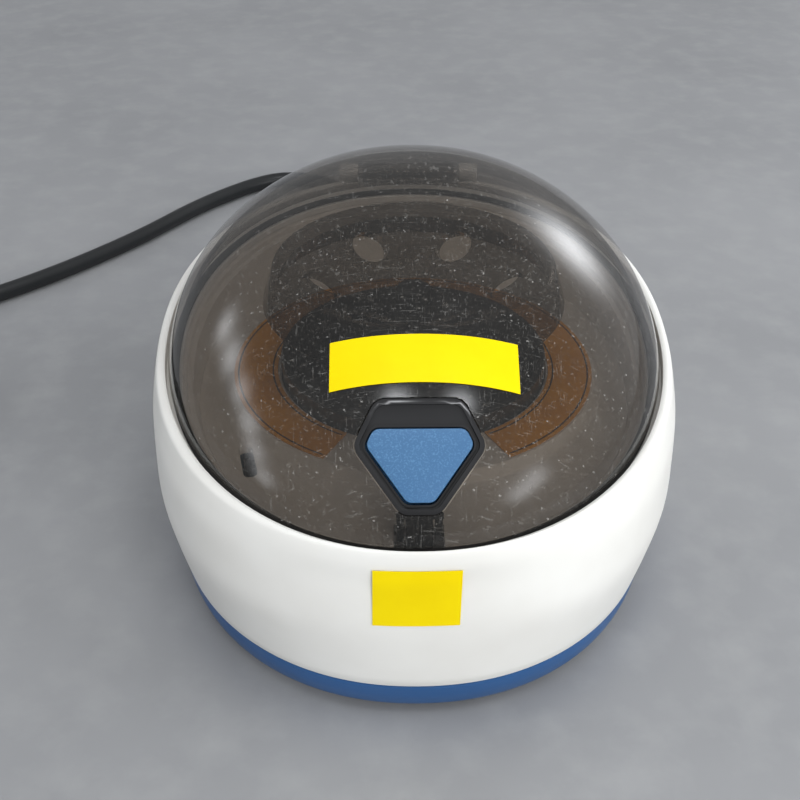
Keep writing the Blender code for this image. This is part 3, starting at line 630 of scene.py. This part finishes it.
def shield(grow, top_grow, radius):
    """The button's outline with round corners, grown sideways and downwards, and upwards by top_grow."""
    shoulder = 11.2 + grow * 1.11 - top_grow * 0.49
    return rounded(
        [
            (-shoulder, 9 + top_grow),
            (shoulder, 9 + top_grow),
            (13.2 + grow * 1.16, 4.9 - grow * 0.1),
            (3.3 + grow * 0.52, -9 - grow),
            (-3.3 - grow * 0.52, -9 - grow),
            (-13.2 - grow * 1.16, 4.9 - grow * 0.1),
        ],
        radius,
    )


def assign(made, body, slot, *nodes):
    """Gives a piece its body and hides the CAD nodes that it stands for; the material slot is not used."""
    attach(made, body)
    if nodes:
        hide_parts(*nodes)
    return made


# ---- mains lead: real length, route, coil, tie and plug ----
FLOOR_Z = CORD_R + 0.2
PITCH = 2 * CORD_R + 0.15
COIL_START, COIL_END = 126.2, 200  # degrees
COIL_TURNS = 4 + (COIL_END - COIL_START) / 360
COIL_R, COIL_ENDS_R = 45.6, 53.3
JOINING, JOINED, CLIMBING, INNERMOST, CLIMBED, LEAVING = 0.2, 0.24, 2.16, 2.2, 2.42, 3.7  # in turns
PLUG_AT = Vector((-247.6, 0, 7.2))
PLUG_HEADING = Vector((4.6, -12, 0)).normalized()
TIE_R, TIE_ANGLE = 38.5, radians(20)


def smooth_route(knots, spacing):
    knots = [Vector(knot) for knot in knots]
    ends = [2 * knots[0] - knots[1], *knots, 2 * knots[-1] - knots[-2]]
    points = []
    for a, b, c, d in zip(ends, ends[1:], ends[2:], ends[3:]):
        count = max(1, round((c - b).length / spacing))
        points += [on_curve(a, b, c, d, i / count) for i in range(count)]
    return points + [knots[-1]]


def ease(t):
    t = max(0.0, min(1.0, t))
    return t * t * (3 - 2 * t)


ROUTE = [
    (LEAD_X, RELIEF_END_Y + 0.3, LEAD_Z), (LEAD_X, RELIEF_END_Y + 3, LEAD_Z), (-11, 137, 27.2),
    (-11.3, 154, 21.5), (-12, 172, 13.6), (-13.5, 191, 7.0), (-16, 211, 4.2), (-21, 231, FLOOR_Z),
    (-31, 250, FLOOR_Z), (-45, 262, FLOOR_Z), (-61, 264, FLOOR_Z), (-75, 257, FLOOR_Z), (-90, 243, FLOOR_Z),
    (-104, 226.5, FLOOR_Z), (-122, 201, FLOOR_Z), (-142, 177, FLOOR_Z), (-160, 158.5, FLOOR_Z),
    (-178, 143, FLOOR_Z), (-200, 128, FLOOR_Z), (-224, 114, FLOOR_Z), (-245.5, 101, FLOOR_Z),
]


def coil_point(turns):
    """The wound lead after so many turns: two layers, spiralling in on the bench and out on top."""
    angle = radians(COIL_START) + 2 * pi * turns
    if turns < INNERMOST:
        radius = COIL_R - (turns - JOINING) * PITCH
        if turns < JOINED:
            radius = COIL_ENDS_R + (radius - COIL_ENDS_R) * ease(turns / JOINED)
    else:
        low = COIL_R - (INNERMOST - JOINING) * PITCH
        radius = low + max(0, turns - CLIMBED) * PITCH
        last = low + (COIL_TURNS - CLIMBED) * PITCH
        radius += (COIL_ENDS_R - last) * ease((turns - LEAVING) / (COIL_TURNS - LEAVING))
    height = FLOOR_Z + PITCH * ease((turns - CLIMBING) / (CLIMBED - CLIMBING))
    return COIL_CENTRE + Vector((radius * cos(angle), radius * sin(angle), height))


def mains_lead():
    steps = round(COIL_TURNS * 40)
    coil = [coil_point(COIL_TURNS * i / steps) for i in range(steps + 1)]
    tail = smooth_route([coil[-1], coil[-1].lerp(PLUG_AT, 0.5) + Vector((-0.4, 0, 0.6)), PLUG_AT], 5)
    points = smooth_route(ROUTE, 6) + coil[1:] + tail[1:]
    lead = wire("mains_lead", [point * MM for point in points], CORD_R, PVC, 6)
    assign(lead, "housing", "black_plastic", "cord", "cord_coil", "cord_tail")
    return lead, points[0] * MM, sum((b - a).length for a, b in zip(points, points[1:])) * MM


def plug():
    """Flat two-pin plug: softened body with a sleeve for the lead and two pins."""
    aside = Vector((-PLUG_HEADING.y, PLUG_HEADING.x, 0))
    turned_to = Matrix((aside, PLUG_HEADING, (0, 0, 1))).transposed().to_4x4()
    place = Matrix.Translation((PLUG_AT + PLUG_HEADING * 0.4) * MM) @ turned_to
    corners = [(-6, 0), (6, 0), (8, 10), (17.5, 20), (17.5, 36), (-17.5, 36), (-17.5, 20), (-8, 10)]
    body = prism("plug", rounded(corners, 1.8), -6.9, 6.9, place, SATIN_BLACK, edge=2.4, segments=5)
    assign(body, "housing", "black_plastic", "plug_body")
    pins = []
    for name, x in (("plug_pin_left", -9.5), ("plug_pin_right", 9.5)):
        ends = [place @ (Vector((x, y, 0)) * MM) / MM for y in (36.3, 55)]
        pin = bar(name + "_steel", 2.0, *ends, STEEL, edge=0.8)
        pins.append(assign(pin, "housing", "steel", name))
    return [body, *pins]


def cord_tie():
    """A strap round the coil: a thin band that wraps the whole section of the ring."""
    out = Vector((cos(TIE_ANGLE), sin(TIE_ANGLE), 0))
    across = Vector((-out.y, out.x, 0))
    middle_z = FLOOR_Z + PITCH / 2
    section = outline(11.9, 7.45, 7.45, 2 / 0.55, 0, 48)
    rings = []
    for scale, side in ((1.0, -3.2), (1.09, -2.8), (1.09, 2.8), (1.0, 3.2)):
        ring = []
        for dr, dz, _ in section:
            height = max(0.05, middle_z + max(0.12 - middle_z, dz) * scale)
            ring.append(COIL_CENTRE + out * (TIE_R + dr * scale) + across * side + Vector((0, 0, height)))
        rings.append(ring)
    return assign(loft("cord_tie", rings, RUBBER), "housing", "rubber")


def strain_relief():
    """Tapered sleeve with ring grooves where the lead leaves the housing."""
    profile = [(0, 78), (5.0, 78), (5.0, PANEL_Y)]
    profile += [(7.0, PANEL_Y + 0.3), (7.0, PANEL_Y + 2.6), (5.9, PANEL_Y + 3.4)]
    count, groove = 9, 0.55
    first, last = PANEL_Y + 4.4, RELIEF_END_Y - 2.0
    pitch = (last - first) / count
    for i in range(count):
        at = first + (last - first) * i / count
        radius = 5.7 - 1.4 * (i + 0.5) / count
        profile += [(radius, at), (radius, at + pitch * 0.55)]
        profile += [(radius - groove, at + pitch * 0.68), (radius - groove, at + pitch * 0.88)]
    profile += [(4.25, last), (4.2, RELIEF_END_Y - 0.6), (3.9, RELIEF_END_Y), (0, RELIEF_END_Y)]
    sleeve = turned("lead_sleeve", profile, SATIN_BLACK, (LEAD_X, 0, LEAD_Z), 64, "Y")
    return assign(sleeve, "housing", "black_plastic", "strain_relief")


strain_relief()
lead, lead_exit, lead_length = mains_lead()
tie = cord_tie()
plug()


# ---- housing ----
PAN_FLOOR_Z = 5.0
FEET = [(x, y) for x in (-42, 42) for y in (-50, 50)]
SCREWS = [(x, y) for x in (-52, 52) for y in (-22, 22)]


def base_pan():
    outer = [(69.2, 80.6, 2.5), (71.0, 82.6, 3.0), (72.2, 84.2, 4.4), (73.2, 85.9, 8.5), (73.6, 86.7, 12.6)]
    rings = smooth_rings([outline(a, b, b, RIM_POWER, z) for a, b, z in outer], 4)
    rings += [outline(73.5, 86.7, 86.7, RIM_POWER, 13.2), outline(73.1, 86.3, 86.3, RIM_POWER, SPLIT_Z)]
    for a, b, z in reversed(outer):
        rings.append(outline(a - WALL, b - WALL, b - WALL, RIM_POWER, max(z, PAN_FLOOR_Z)))
    pan = loft("blue_base", rings, BLUE, closed=False)
    holes = [(3.4, at) for at in SCREWS] + [(2.5, at) for at in FEET]
    shaped(pan, *[cut(bar("hole", radius, (x, y, 0), (x, y, 8))) for radius, (x, y) in holes])
    assign(pan, "housing", "blue_abs", "base_pan")


def upper_shell():
    lower = SPLIT_Z + 0.3
    outer = [
        outline(73.75, 86.95, 86.95, 2.12, lower + 0.5),
        outline(75.5, 88.4, 88.4, 2.22, 26),
        housing(0, widest_plane(-6)),
        housing(0, widest_plane(3)),
        housing(-0.5, rim_plane(-9)),
        outline(75.6, 89.0, 87.6, 2.25, rim_plane(-4)),
        outline(75.1, 88.7, 87.0, 2.2, rim_plane(-1.2)),
        outline(74.6, 88.3, 86.5, 2.17, rim_plane(0.3)),
        outline(73.6, 87.9, 85.6, 2.12, rim_plane(0.8)),
    ]
    rings = [outline(73.4, 86.6, 86.6, 2.12, lower)] + smooth_rings(outer, 4)
    rings += [
        rim(1.5, 0.75), rim(1.0, 0.55), rim(0.8, 0.1), rim(0.8, -LEDGE_DROP), rim(-3.3, -LEDGE_DROP),
        rim(-3.5, -LEDGE_DROP - 0.2), rim(-3.5, -LEDGE_DROP - 2), rim(-0.9, -LEDGE_DROP - 2), rim(-0.2, -8.5),
        housing(-WALL, widest_plane(2)), housing(-WALL, widest_plane(-6)),
        outline(73.3, 86.2, 86.2, 2.22, 26), outline(71.5, 84.7, 84.7, 2.12, lower),
    ]
    shell = loft("white_housing", rings, WHITE)
    steps = [cut(box("notch", (-17, 79.5, 80.4), (17, 95, 95)))]
    for side in (-1, 1):
        ends = sorted((side * LUG_INNER, side * LUG_OUTER))
        steps.append(join(box("lug", (ends[0], 82.3, 76), (ends[1], 87.8, 83.7), None, 0.3, 1)))
        steps.append(join(bar("lug_round", HINGE_R, (ends[0], *HINGE), (ends[1], *HINGE), edge=0.4)))
    steps += [
        join(box("panel", (-24.5, 83.3, 15), (24.5, PANEL_Y + 0.7, 43.3))),
        cut(box("recess", (-PANEL_HALF, PANEL_Y, 16.5), (PANEL_HALF, 95, 42))),
        cut(box("opening", (SWITCH_X - 6.6, 70, SWITCH_Z - 9.6), (SWITCH_X + 6.6, 95, SWITCH_Z + 9.6))),
        cut(bar("lead_hole", 5.4, (LEAD_X, 70, LEAD_Z), (LEAD_X, 95, LEAD_Z))),
        cut(bar("pin_hole", HINGE_PIN_R + 0.35, *across(LUG_OUTER + 1, HINGE))),
    ]
    shaped(shell, *steps)
    assign(shell, "housing", "white_abs", "upper_shell")
    pin = bar("hinge_rod", HINGE_PIN_R, *across(LUG_OUTER, HINGE), STEEL, edge=0.3)
    assign(pin, "housing", "steel", "hinge_pin")


def chamber():
    flange = -LEDGE_DROP - 2.3
    rings = [
        rim(-1.5, flange), rim(-3.4, flange), rim(-4.3, flange - 0.6),
        outline(RIM_A - 6.0, RIM_FRONT - 6.0, RIM_BACK - 6.0, 2.1, DECK_Z + 1.2),
        outline(RIM_A - 7.2, RIM_FRONT - 7.2, RIM_BACK - 7.2, 2.1, DECK_Z),
        circle(57.2, DECK_Z), circle(56.0, DECK_Z + 0.7), circle(54.9, COLLAR_Z - 0.5),
        circle(COLLAR_R, COLLAR_Z), circle(WELL_R + 0.7, COLLAR_Z),
        circle(WELL_R + 0.3, COLLAR_Z - 0.4), circle(WELL_R + 0.3, COLLAR_Z - WALL),
        circle(53.0, COLLAR_Z - WALL), circle(55.8, DECK_Z - WALL),
        outline(RIM_A - 8.2, RIM_FRONT - 8.2, RIM_BACK - 8.2, 2.1, DECK_Z - WALL),
        rim(-6.2, flange - WALL), rim(-1.5, flange - WALL),
    ]
    deck = loft("chamber_liner", rings, DECK_WHITE)
    slot = prism(
        "slot", rounded([(-1.9, -7), (1.9, -7), (1.9, 7), (-1.9, 7)], 1.7), 50, 66,
        Matrix.Translation(Vector((-46, -44, 0)) * MM) @ Matrix.Rotation(radians(12), 4, "Z"), None,
    )
    shaped(deck, cut(box("latch_slot", (-6.4, -95, 50), (6.4, -71, 66))), cut(slot))
    assign(deck, "housing", "white_abs", "chamber_deck")


def well_cup():
    """Black cup whose inner wall carries fine upright ribs."""
    ribs, per_rib = 76, 8
    sides = ribs * per_rib
    depths = [0, 0, 0.25, 0.5, 0.5, 0.5, 0.25, 0]

    def ribbed(radius, height, depth=1.0):
        ring = []
        for i in range(sides):
            a = 2 * pi * i / sides
            r = radius - depth * depths[i % per_rib]
            ring.append((r * cos(a), r * sin(a), height))
        return ring

    def plain(radius, height):
        return ribbed(radius, height, 0)

    flange_z = COLLAR_Z - WALL - 0.3
    rings = [
        plain(WELL_R - 1.6, WELL_TOP_Z), plain(WELL_R - 0.4, WELL_TOP_Z), plain(WELL_R, WELL_TOP_Z - 0.4),
        plain(WELL_R, flange_z), plain(WELL_R + 4, flange_z), plain(WELL_R + 4, flange_z - 2),
        plain(WELL_R, flange_z - 2), plain(WELL_R - 1.5, WELL_FLOOR_Z - 2), plain(5, WELL_FLOOR_Z - 2),
        plain(5, WELL_FLOOR_Z), plain(WELL_R - 4, WELL_FLOOR_Z), ribbed(WELL_R - 2.4, WELL_FLOOR_Z + 1.4),
        ribbed(WELL_R - 2, WELL_FLOOR_Z + 3), ribbed(WELL_R - 2, WELL_TOP_Z - 1.2),
        plain(WELL_R - 2.2, WELL_TOP_Z - 0.5), plain(WELL_R - 2.0, WELL_TOP_Z - 0.1),
    ]
    cup = loft("rotor_well", rings, WELL_BLACK, sharp=30)
    assign(cup, "housing", "black_plastic", "well_cup")


def band(name, inner, outer, low, high, start, end, finish, steps=140):
    """A flat ring with a gap, between two radii, two heights and two angles."""
    points = [(outer * cos(a), outer * sin(a)) for a in np.linspace(start, end, steps)]
    points += [(inner * cos(a), inner * sin(a)) for a in np.linspace(end, start, steps)]

    def build(grid):
        levels = [vertices(grid, [(x, y, z) for x, y in points]) for z in (low, high)]
        for level in levels:
            for i in range(steps - 1):
                grid.faces.new((level[i], level[i + 1], level[2 * steps - 2 - i], level[2 * steps - 1 - i]))
        skin(grid, levels)

    return add(name, mesh_of(name, build), finish)


def lid_gasket():
    seal = [
        rim(-0.4, -2.9), rim(-0.4, -2.3), rim(-0.7, -2.1), rim(-2.4, -2.1), rim(-2.8, -2.3), rim(-2.8, -2.9),
    ]
    assign(loft("lid_gasket", seal, RUBBER), "housing", "rubber", "lid_seal")


def amber_band():
    low = COLLAR_Z + 0.12
    start, end = radians(-62), radians(242)
    label = band("amber_band", WELL_R + 1.2, COLLAR_R - 0.6, low, low + 0.25, start, end, AMBER)
    assign(label, "housing", "amber_label", "warning_band")
    inset = radians(1.0)
    for i, radius in enumerate((WELL_R + 2.4, COLLAR_R - 2.1)):
        line = band(f"amber_band_line_{i}", radius, radius + 0.45, low + 0.22, low + 0.3,
                    start + inset, end - inset, LINE)
        assign(line, "housing", "amber_label")


TAPE_THICK = 0.16


def patch(name, columns, rows, surface, lift, finish):
    """A strip of tape that follows a surface, lifted a little clear of it."""

    def build(grid):
        layers = []
        for depth in (lift, lift + TAPE_THICK):
            layers.append([[grid.verts.new(surface(x, z, depth) * MM) for x in columns] for z in rows])
        for layer in layers:
            for low, high in zip(layer, layer[1:]):
                for i in range(len(low) - 1):
                    grid.faces.new((low[i], low[i + 1], high[i + 1], high[i]))

        def border(layer):
            right = [row[-1] for row in layer[1:]]
            left = [row[0] for row in layer[1:-1]]
            return layer[0] + right + layer[-1][-2::-1] + left[::-1]

        skin(grid, [border(layer) for layer in layers])

    return add(name, mesh_of(name, build), finish)


def front_face(x, z):
    """Where the housing's front wall is, which draws in above TAPER_Z."""
    depth = HALF_DEPTH - TAPER * max(0, z - TAPER_Z)
    return -depth * (1 - abs(x / HALF_WIDTH) ** HOUSING_POWER) ** (1 / HOUSING_POWER)


def body_tape():
    low, high, slope = 39, 57, 0.012

    def on_body(x, z, depth):
        slant = slope * (z - (low + high) / 2)
        return Vector((x + slant, front_face(x, z) - depth, z))

    columns, rows = np.linspace(-11.8, 10.2, 40), np.linspace(low, high, 28)
    made = patch("body_label_tape", columns, rows, on_body, 0.22, TAPE)
    assign(made, "housing", "yellow_tape", "body_tape")


def lid_tape():
    step = 0.2

    def on_dome(x, y, depth):
        here = dome_height(x, y)
        normal = Vector((
            dome_height(x - step, y) - dome_height(x + step, y),
            dome_height(x, y - step) - dome_height(x, y + step),
            2 * step,
        )).normalized()
        return Vector((x, y, here)) + normal * depth

    columns, rows = np.linspace(-22, 25, 80), np.linspace(-60.6, -49.0, 24)
    made = patch("lid_label_tape", columns, rows, on_dome, 0.15, TAPE)
    assign(made, "lid", "yellow_tape", "lid_tape")


def feet():
    profile = [(0, 6.4), (2.1, 6.4), (2.1, 2.2), (6.4, 2.2), (6.9, 1.8), (7.0, 1.4), (6.7, 0.3), (6.3, 0),
               (4.2, 0), (3.9, 0.25), (0, 0.3)]
    for i, (x, y) in enumerate(FEET):
        foot = turned(f"rubber_foot_{i + 1}", profile, RUBBER, (x, y, 0), 48)
        assign(foot, "housing", "rubber", f"foot_{i + 1}")


def base_screws():
    halves = (1.7, 0.35), (0.35, 1.7)
    profile = [(0, 12), (1.2, 12), (1.5, 11.5), (1.5, 5.6), (3.0, 5.6), (3.0, 3.6), (2.6, 3.0), (2.0, 2.85),
               (0, 2.8)]
    for i, (x, y) in enumerate(SCREWS):
        screw = turned(f"screw_{i + 1}", profile, STEEL, (x, y, 0), 40)
        shaped(screw, *[cut(box("groove", (x - a, y - b, 2), (x + a, y + b, 4.1))) for a, b in halves])
        assign(screw, "housing", "steel", f"base_screw_{i + 1}")


# ---- lid, button and latch ----
def lid_dome():
    dome = dome_shell("smoked_dome", LID)
    shaped(dome, cut(prism("hole", shield(3.1, 7.8, 4.3), -20, 12, BUTTON_PLACE)))
    assign(dome, "lid", "smoked_clear", "lid_dome")


def lid_knuckle():
    knuckle = bar("lid_knuckle", HINGE_R, *across(KNUCKLE_HALF, HINGE), LID, edge=0.4)
    shaped(
        knuckle,
        join(box("block", (-KNUCKLE_HALF + 0.1, 81.2, 82.9), (KNUCKLE_HALF - 0.1, 85.2, 87.3), None, 0.3, 2)),
        cut(bar("bore", HINGE_PIN_R + 0.3, *across(20, HINGE))),
    )
    assign(knuckle, "lid", "smoked_clear")


def button_surround():
    """Black shield with a scooped face and lip, cut to the dome, with the yoke and ears for the latch."""
    surround = prism("button_surround", shield(2.8, 7.5, 4.0), -7.5, 9, BUTTON_PLACE, BLACK)
    yoke = [(-79.6, 67.75), (-77.0, 65.55), (-78.2, 64.1), (-80.8, 66.3)]
    ear = [(-79.5, 67.4), (-77.2, 65.5), (-74.2, 59.5), (-75.3, 57.6), (-77.3, 56.8), (-78.8, 57.5),
           (-79.3, 59.4), (-78.4, 64.2), (-80.5, 66.3)]
    steps = [
        ("INTERSECT", dome_solid("form")),
        cut(prism("scoop", shield(1.6, 6.0, 3.2), -3.6, 12, BUTTON_PLACE)),
        join(prism("lip", shield(1.0, 1.0, 3.0), -4.2, -2.3, BUTTON_PLACE)),
        cut(prism("bore", shield(0.4, 0.4, 2.8), -12, 12, BUTTON_PLACE)),
        cut(prism("flange_room", shield(1.8, 1.8, 3.2), -12, -6.0, BUTTON_PLACE)),
        join(prism("yoke", yoke, -5.8, 5.8, SIDE_PLACE)),
        *[join(prism("ear", ear, low, high, SIDE_PLACE)) for low, high in ((-5.7, -3.8), (3.8, 5.7))],
        cut(bar("ear_bore", 1.35, *across(7, LATCH_PIVOT))),
    ]
    shaped(surround, *steps, edge=0.35, angle=30, sharp=50)
    assign(surround, "lid", "black_plastic", "button_housing")
    pin = bar("latch_rod", 1.0, *across(5.8, LATCH_PIVOT), STEEL, edge=0.2)
    assign(pin, "lid", "steel", "latch_pin")


def press_button():
    face = shield(-0.1, -0.1, 2.4)
    button = prism("blue_button", face, -7.2, 0.6, BUTTON_PLACE, PEARL, edge=1.25, segments=1)
    flange = prism("flange", shield(1.1, 1.1, 2.8), -7.3, -6.3, BUTTON_PLACE)
    ends = [BUTTON_PLACE @ (Vector((0, -4, depth)) * MM) / MM for depth in (-12.6, -7)]
    stem = bar("stem", 1.5, *ends)
    shaped(button, join(flange), join(stem), edge=0.22, angle=30, sharp=50)
    assign(button, "button", "button_blue", "press_button")


def return_spring():
    turns, per_turn, radius, length = 4, 24, 3, 3.5
    points = []
    for i in range(turns * per_turn + 1):
        angle = 2 * pi * i / per_turn
        depth = -7.9 - length * i / (turns * per_turn)
        place = Vector((radius * cos(angle), 6 + radius * sin(angle), depth))
        points.append(BUTTON_PLACE @ (place * MM))
    assign(wire("return_spring", points, 0.28, STEEL, 3), "lid", "steel", "button_spring")


def spring_bracket():
    bracket = prism("bracket", rounded([(-9.6, 1), (-9.6, 14.6), (9.6, 14.6), (9.6, 1)], 1), -13.4, -12,
                    BUTTON_PLACE, SATIN_BLACK, edge=0.25)
    posts = []
    for side in (-1, 1):
        low, high = sorted((side * 4.6, side * 8.6))
        post = [(low, 12.4), (low, 14.2), (high, 14.2), (high, 12.4)]
        posts.append(join(prism("post", post, -12.6, -7.8, BUTTON_PLACE)))
    shaped(bracket, *posts)
    assign(bracket, "lid", "black_plastic", "spring_bracket")


def latch():
    profile = [
        (-79.2, 49.4), (-76.2, 49.4), (-74.8, 50.6), (-74.8, 51.9), (-77.0, 51.9), (-77.0, 56.6),
        (-75.4, 57.0), (-74.2, 58.6), (-66.4, 67.9), (-68.1, 69.3), (-75.6, 60.6), (-77.2, 61.2),
        (-78.0, 62.6), (-79.8, 62.6), (-79.8, 58.4), (-79.2, 57.4),
    ]
    hook = prism("lid_hook", profile, -3.4, 3.4, SIDE_PLACE, SATIN_BLACK, edge=0.3)
    shaped(hook, cut(bar("bore", 1.3, *across(8, LATCH_PIVOT))))
    assign(hook, "hook", "black_plastic", "latch_hook")
    clip = box("catch_clip", (-8, -76.3, DECK_Z - WALL - 1.1), (8, -62, DECK_Z - WALL - 0.3), STEEL, 0.2, 2)
    assign(clip, "housing", "steel", "latch_catch")


# ---- rotor ----
def rotor():
    """Smoked cone with six slanting holes for tubes."""
    web_z = ROTOR_RIM_Z - 17
    profile = [
        (SHAFT_R + 0.35, web_z + 4), (8.5, web_z + 4), (11.0, web_z + 2.5),
        (ROTOR_RIM_R - 2.0, ROTOR_RIM_Z - 1.0), (ROTOR_RIM_R, ROTOR_RIM_Z),
        (ROTOR_RIM_R + 1.6, ROTOR_RIM_Z - 1.0),
        (ROTOR_SKIRT_R, ROTOR_SKIRT_Z), (ROTOR_SKIRT_R - ROTOR_WALL, ROTOR_SKIRT_Z),
        (ROTOR_RIM_R - 0.6, ROTOR_RIM_Z - 4.6), (12.0, web_z - 1.2), (9.5, web_z - 3), (9.5, web_z - 14),
        (SHAFT_R + 0.35, web_z - 14),
    ]
    body = turned("smoked_rotor", soften(profile, 0.7), ROTOR, steps=144)
    steps = []
    for i in range(TUBES):
        angle = 2 * pi * i / TUBES
        out = Vector((cos(angle), sin(angle), 0))
        centre = out * TUBES_R + Vector((0, 0, web_z + 9.8))
        along = (out - Vector((0, 0, 1))).normalized() * 14
        steps.append(cut(bar("hole", 5.5, centre - along, centre + along * 0.8, None, 56)))
    shaped(body, *steps, sharp=32)
    assign(body, "spinner", "rotor_smoke", "rotor")


def rotor_nut():
    knob = [(0, 86.2), (4.2, 86.2), (4.9, 85.9), (5.2, 85.3), (5.2, 82.5), (5.0, 82.3), (SHAFT_R + 0.3, 82.3),
            (SHAFT_R + 0.3, 84.4), (0, 84.4)]
    piece = turned("rotor_nut", knob, SATIN_BLACK, steps=96)
    count, radius = 18, 5.6
    flutes = []
    for i in range(count):
        angle = 2 * pi * i / count
        x, y = radius * cos(angle), radius * sin(angle)
        flutes.append(cut(bar("flute", 0.75, (x, y, 84), (x, y, 96), None, 16)))
    shaped(piece, *flutes)
    assign(piece, "spinner", "black_plastic", "rotor_knob")


# ---- back panel ----
def back_panel():
    bezel = box("switch_bezel", (SWITCH_X - 7.6, PANEL_Y + 0.3, SWITCH_Z - 10.6),
                (SWITCH_X + 7.6, PANEL_Y + 1.8, SWITCH_Z + 10.6), SATIN_BLACK, 0.5)
    case = box("case", (SWITCH_X - 6.2, 68, SWITCH_Z - 9.2), (SWITCH_X + 6.2, PANEL_Y + 1, SWITCH_Z + 9.2))
    pocket = box("pocket", (SWITCH_X - 4.8, 78, SWITCH_Z - 7.6), (SWITCH_X + 4.8, 95, SWITCH_Z + 7.6))
    shaped(bezel, join(case), cut(pocket))
    assign(bezel, "housing", "black_plastic", "switch_frame")
    profile = [(-3.2, -5.6), (3.4, -7.0), (2.2, -3.2), (1.6, 0), (2.2, 3.2), (3.4, 7.0), (-3.2, 5.6)]
    place = (
        Matrix.Translation(Vector((SWITCH_X, PANEL_Y - 1.6, SWITCH_Z)) * MM)
        @ Matrix.Rotation(radians(-9), 4, "X") @ SIDE_PLACE
    )
    rocker = prism("switch_rocker", profile, -4.4, 4.4, place, BLACK, edge=0.35)
    assign(rocker, "rocker", "black_plastic", "power_rocker")


# ---- pieces inside the housing keep their CAD shape and take a finish ----
def inner_pieces():
    finishes = {
        STEEL: ["motor_can", "upper_bearing", "lower_bearing", "transformer", "heat_sink", "motor_shaft",
                "motor_armature"],
        SATIN_BLACK: ["motor_cap", "capacitor", "interlock_switch", "interlock_plunger"],
        RUBBER: ["motor_mount"],
        BOARD: ["control_board"],
    }
    for finish, names in finishes.items():
        for name in names:
            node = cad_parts[name]
            node.data.materials.clear()
            node.data.materials.append(finish.made)


base_pan()
upper_shell()
chamber()
well_cup()
lid_gasket()
amber_band()
body_tape()
lid_tape()
feet()
base_screws()
lid_dome()
lid_knuckle()
button_surround()
press_button()
return_spring()
spring_bracket()
latch()
rotor()
rotor_nut()
back_panel()
inner_pieces()


# ---- floor and light ----
ROOM_GLOW = 0.28
GLOWS = [  # direction, tightness, strength
    ((0, 0.15, 1), 1.6, 0.14),             # ceiling
    ((0, -0.6, 0.8), 3, 0.45),             # the room in front
    ((-0.09, -0.285, 0.955), 380, 12.0),   # two lamps overhead
    ((0.24, -0.285, 0.928), 380, 12.0),
    ((0.57, 0.76, 0.32), 110, 7.0),        # window behind, to the right
    ((0.82, 0.5, 0.2), 9, 0.55),           # and its wall
    ((0.66, -0.68, 0.32), 170, 4.0),       # bright corner in front, to the right
    ((0.74, -0.55, 0.38), 170, 4.5),
    ((-0.78, 0.50, 0.36), 330, 3.5),       # curtain on the left
    ((-0.84, 0.33, 0.43), 260, 4.5),
    ((-0.88, 0.13, 0.46), 260, 4.5),
    ((-0.90, -0.06, 0.42), 240, 4.5),
    ((-0.92, -0.22, 0.31), 220, 4.0),
    ((-0.92, -0.36, 0.16), 200, 3.5),
]


def sky(world):
    """A dim room that brightens softly overhead, with lamps, a window and a curtain to reflect."""
    tree = world.node_tree
    direction = tree.nodes.new("ShaderNodeTexCoord").outputs["Generated"]

    def maths(kind, operation, value, *settings):
        """A maths node that takes value first, then the settings."""
        made = tree.nodes.new(kind)
        made.operation = operation
        tree.links.new(value, made.inputs[0])
        for socket, setting in zip(made.inputs[1:], settings):
            socket.default_value = setting
        return made

    total = None
    for aim, tight, strength in GLOWS:
        facing = maths("ShaderNodeVectorMath", "DOT_PRODUCT", direction, Vector(aim).normalized())
        ahead = maths("ShaderNodeMath", "MAXIMUM", facing.outputs["Value"], 0)
        lobe = maths("ShaderNodeMath", "POWER", ahead.outputs[0], tight)
        scaled = maths("ShaderNodeMath", "MULTIPLY_ADD", lobe.outputs[0], strength, ROOM_GLOW)
        if total is not None:
            tree.links.new(total, scaled.inputs[2])
        total = scaled.outputs[0]
    background = tree.nodes["Background"]
    background.inputs["Color"].default_value = (0.95, 0.97, 1.0, 1)
    tree.links.new(total, background.inputs["Strength"])


def studio():
    floor = Finish("pale_floor", (0.28, 0.285, 0.295), 0.6)
    floor.mottle((0.235, 0.24, 0.25), 7, 6, 0.35, 0.7)
    floor.mottle((0.33, 0.335, 0.34), 60, 6, 0.45, 0.75, 0.5)
    mesh = bpy.data.meshes.new("floor")
    half = 3.0
    corners = [(half * x, half * y, 0) for x, y in ((-1, -1), (1, -1), (1, 1), (-1, 1))]
    mesh.from_pydata(corners, [], [(0, 1, 2, 3)])
    made = bpy.data.objects.new("floor", mesh)
    mesh.materials.append(floor.made)
    scene.collection.objects.link(made)

    world = bpy.data.worlds.new("studio")
    world.use_nodes = True
    sky(world)
    scene.world = world

    def area(name, at, towards, size, power, colour):
        data = bpy.data.lights.new(name, "AREA")
        data.shape = "RECTANGLE"
        data.size, data.size_y = size
        data.energy = power
        data.color = colour
        lamp = bpy.data.objects.new(name, data)
        lamp.location = Vector(at)
        lamp.rotation_euler = (Vector(towards) - Vector(at)).to_track_quat("-Z", "Y").to_euler()
        lamp.visible_glossy = False
        scene.collection.objects.link(lamp)

    area("ceiling", (0.1, 0.25, 1.3), (0, 0.05, 0.08), (1.3, 0.9), 2.6, (1.0, 0.99, 0.97))
    area("window", (0.95, -0.25, 0.65), (0, 0, 0.06), (0.55, 0.7), 4.4, (0.98, 0.99, 1.0))
    area("front", (0.42, -1.05, 0.5), (0, 0, 0.05), (0.7, 0.5), 8.6, (1.0, 0.995, 0.98))


studio()
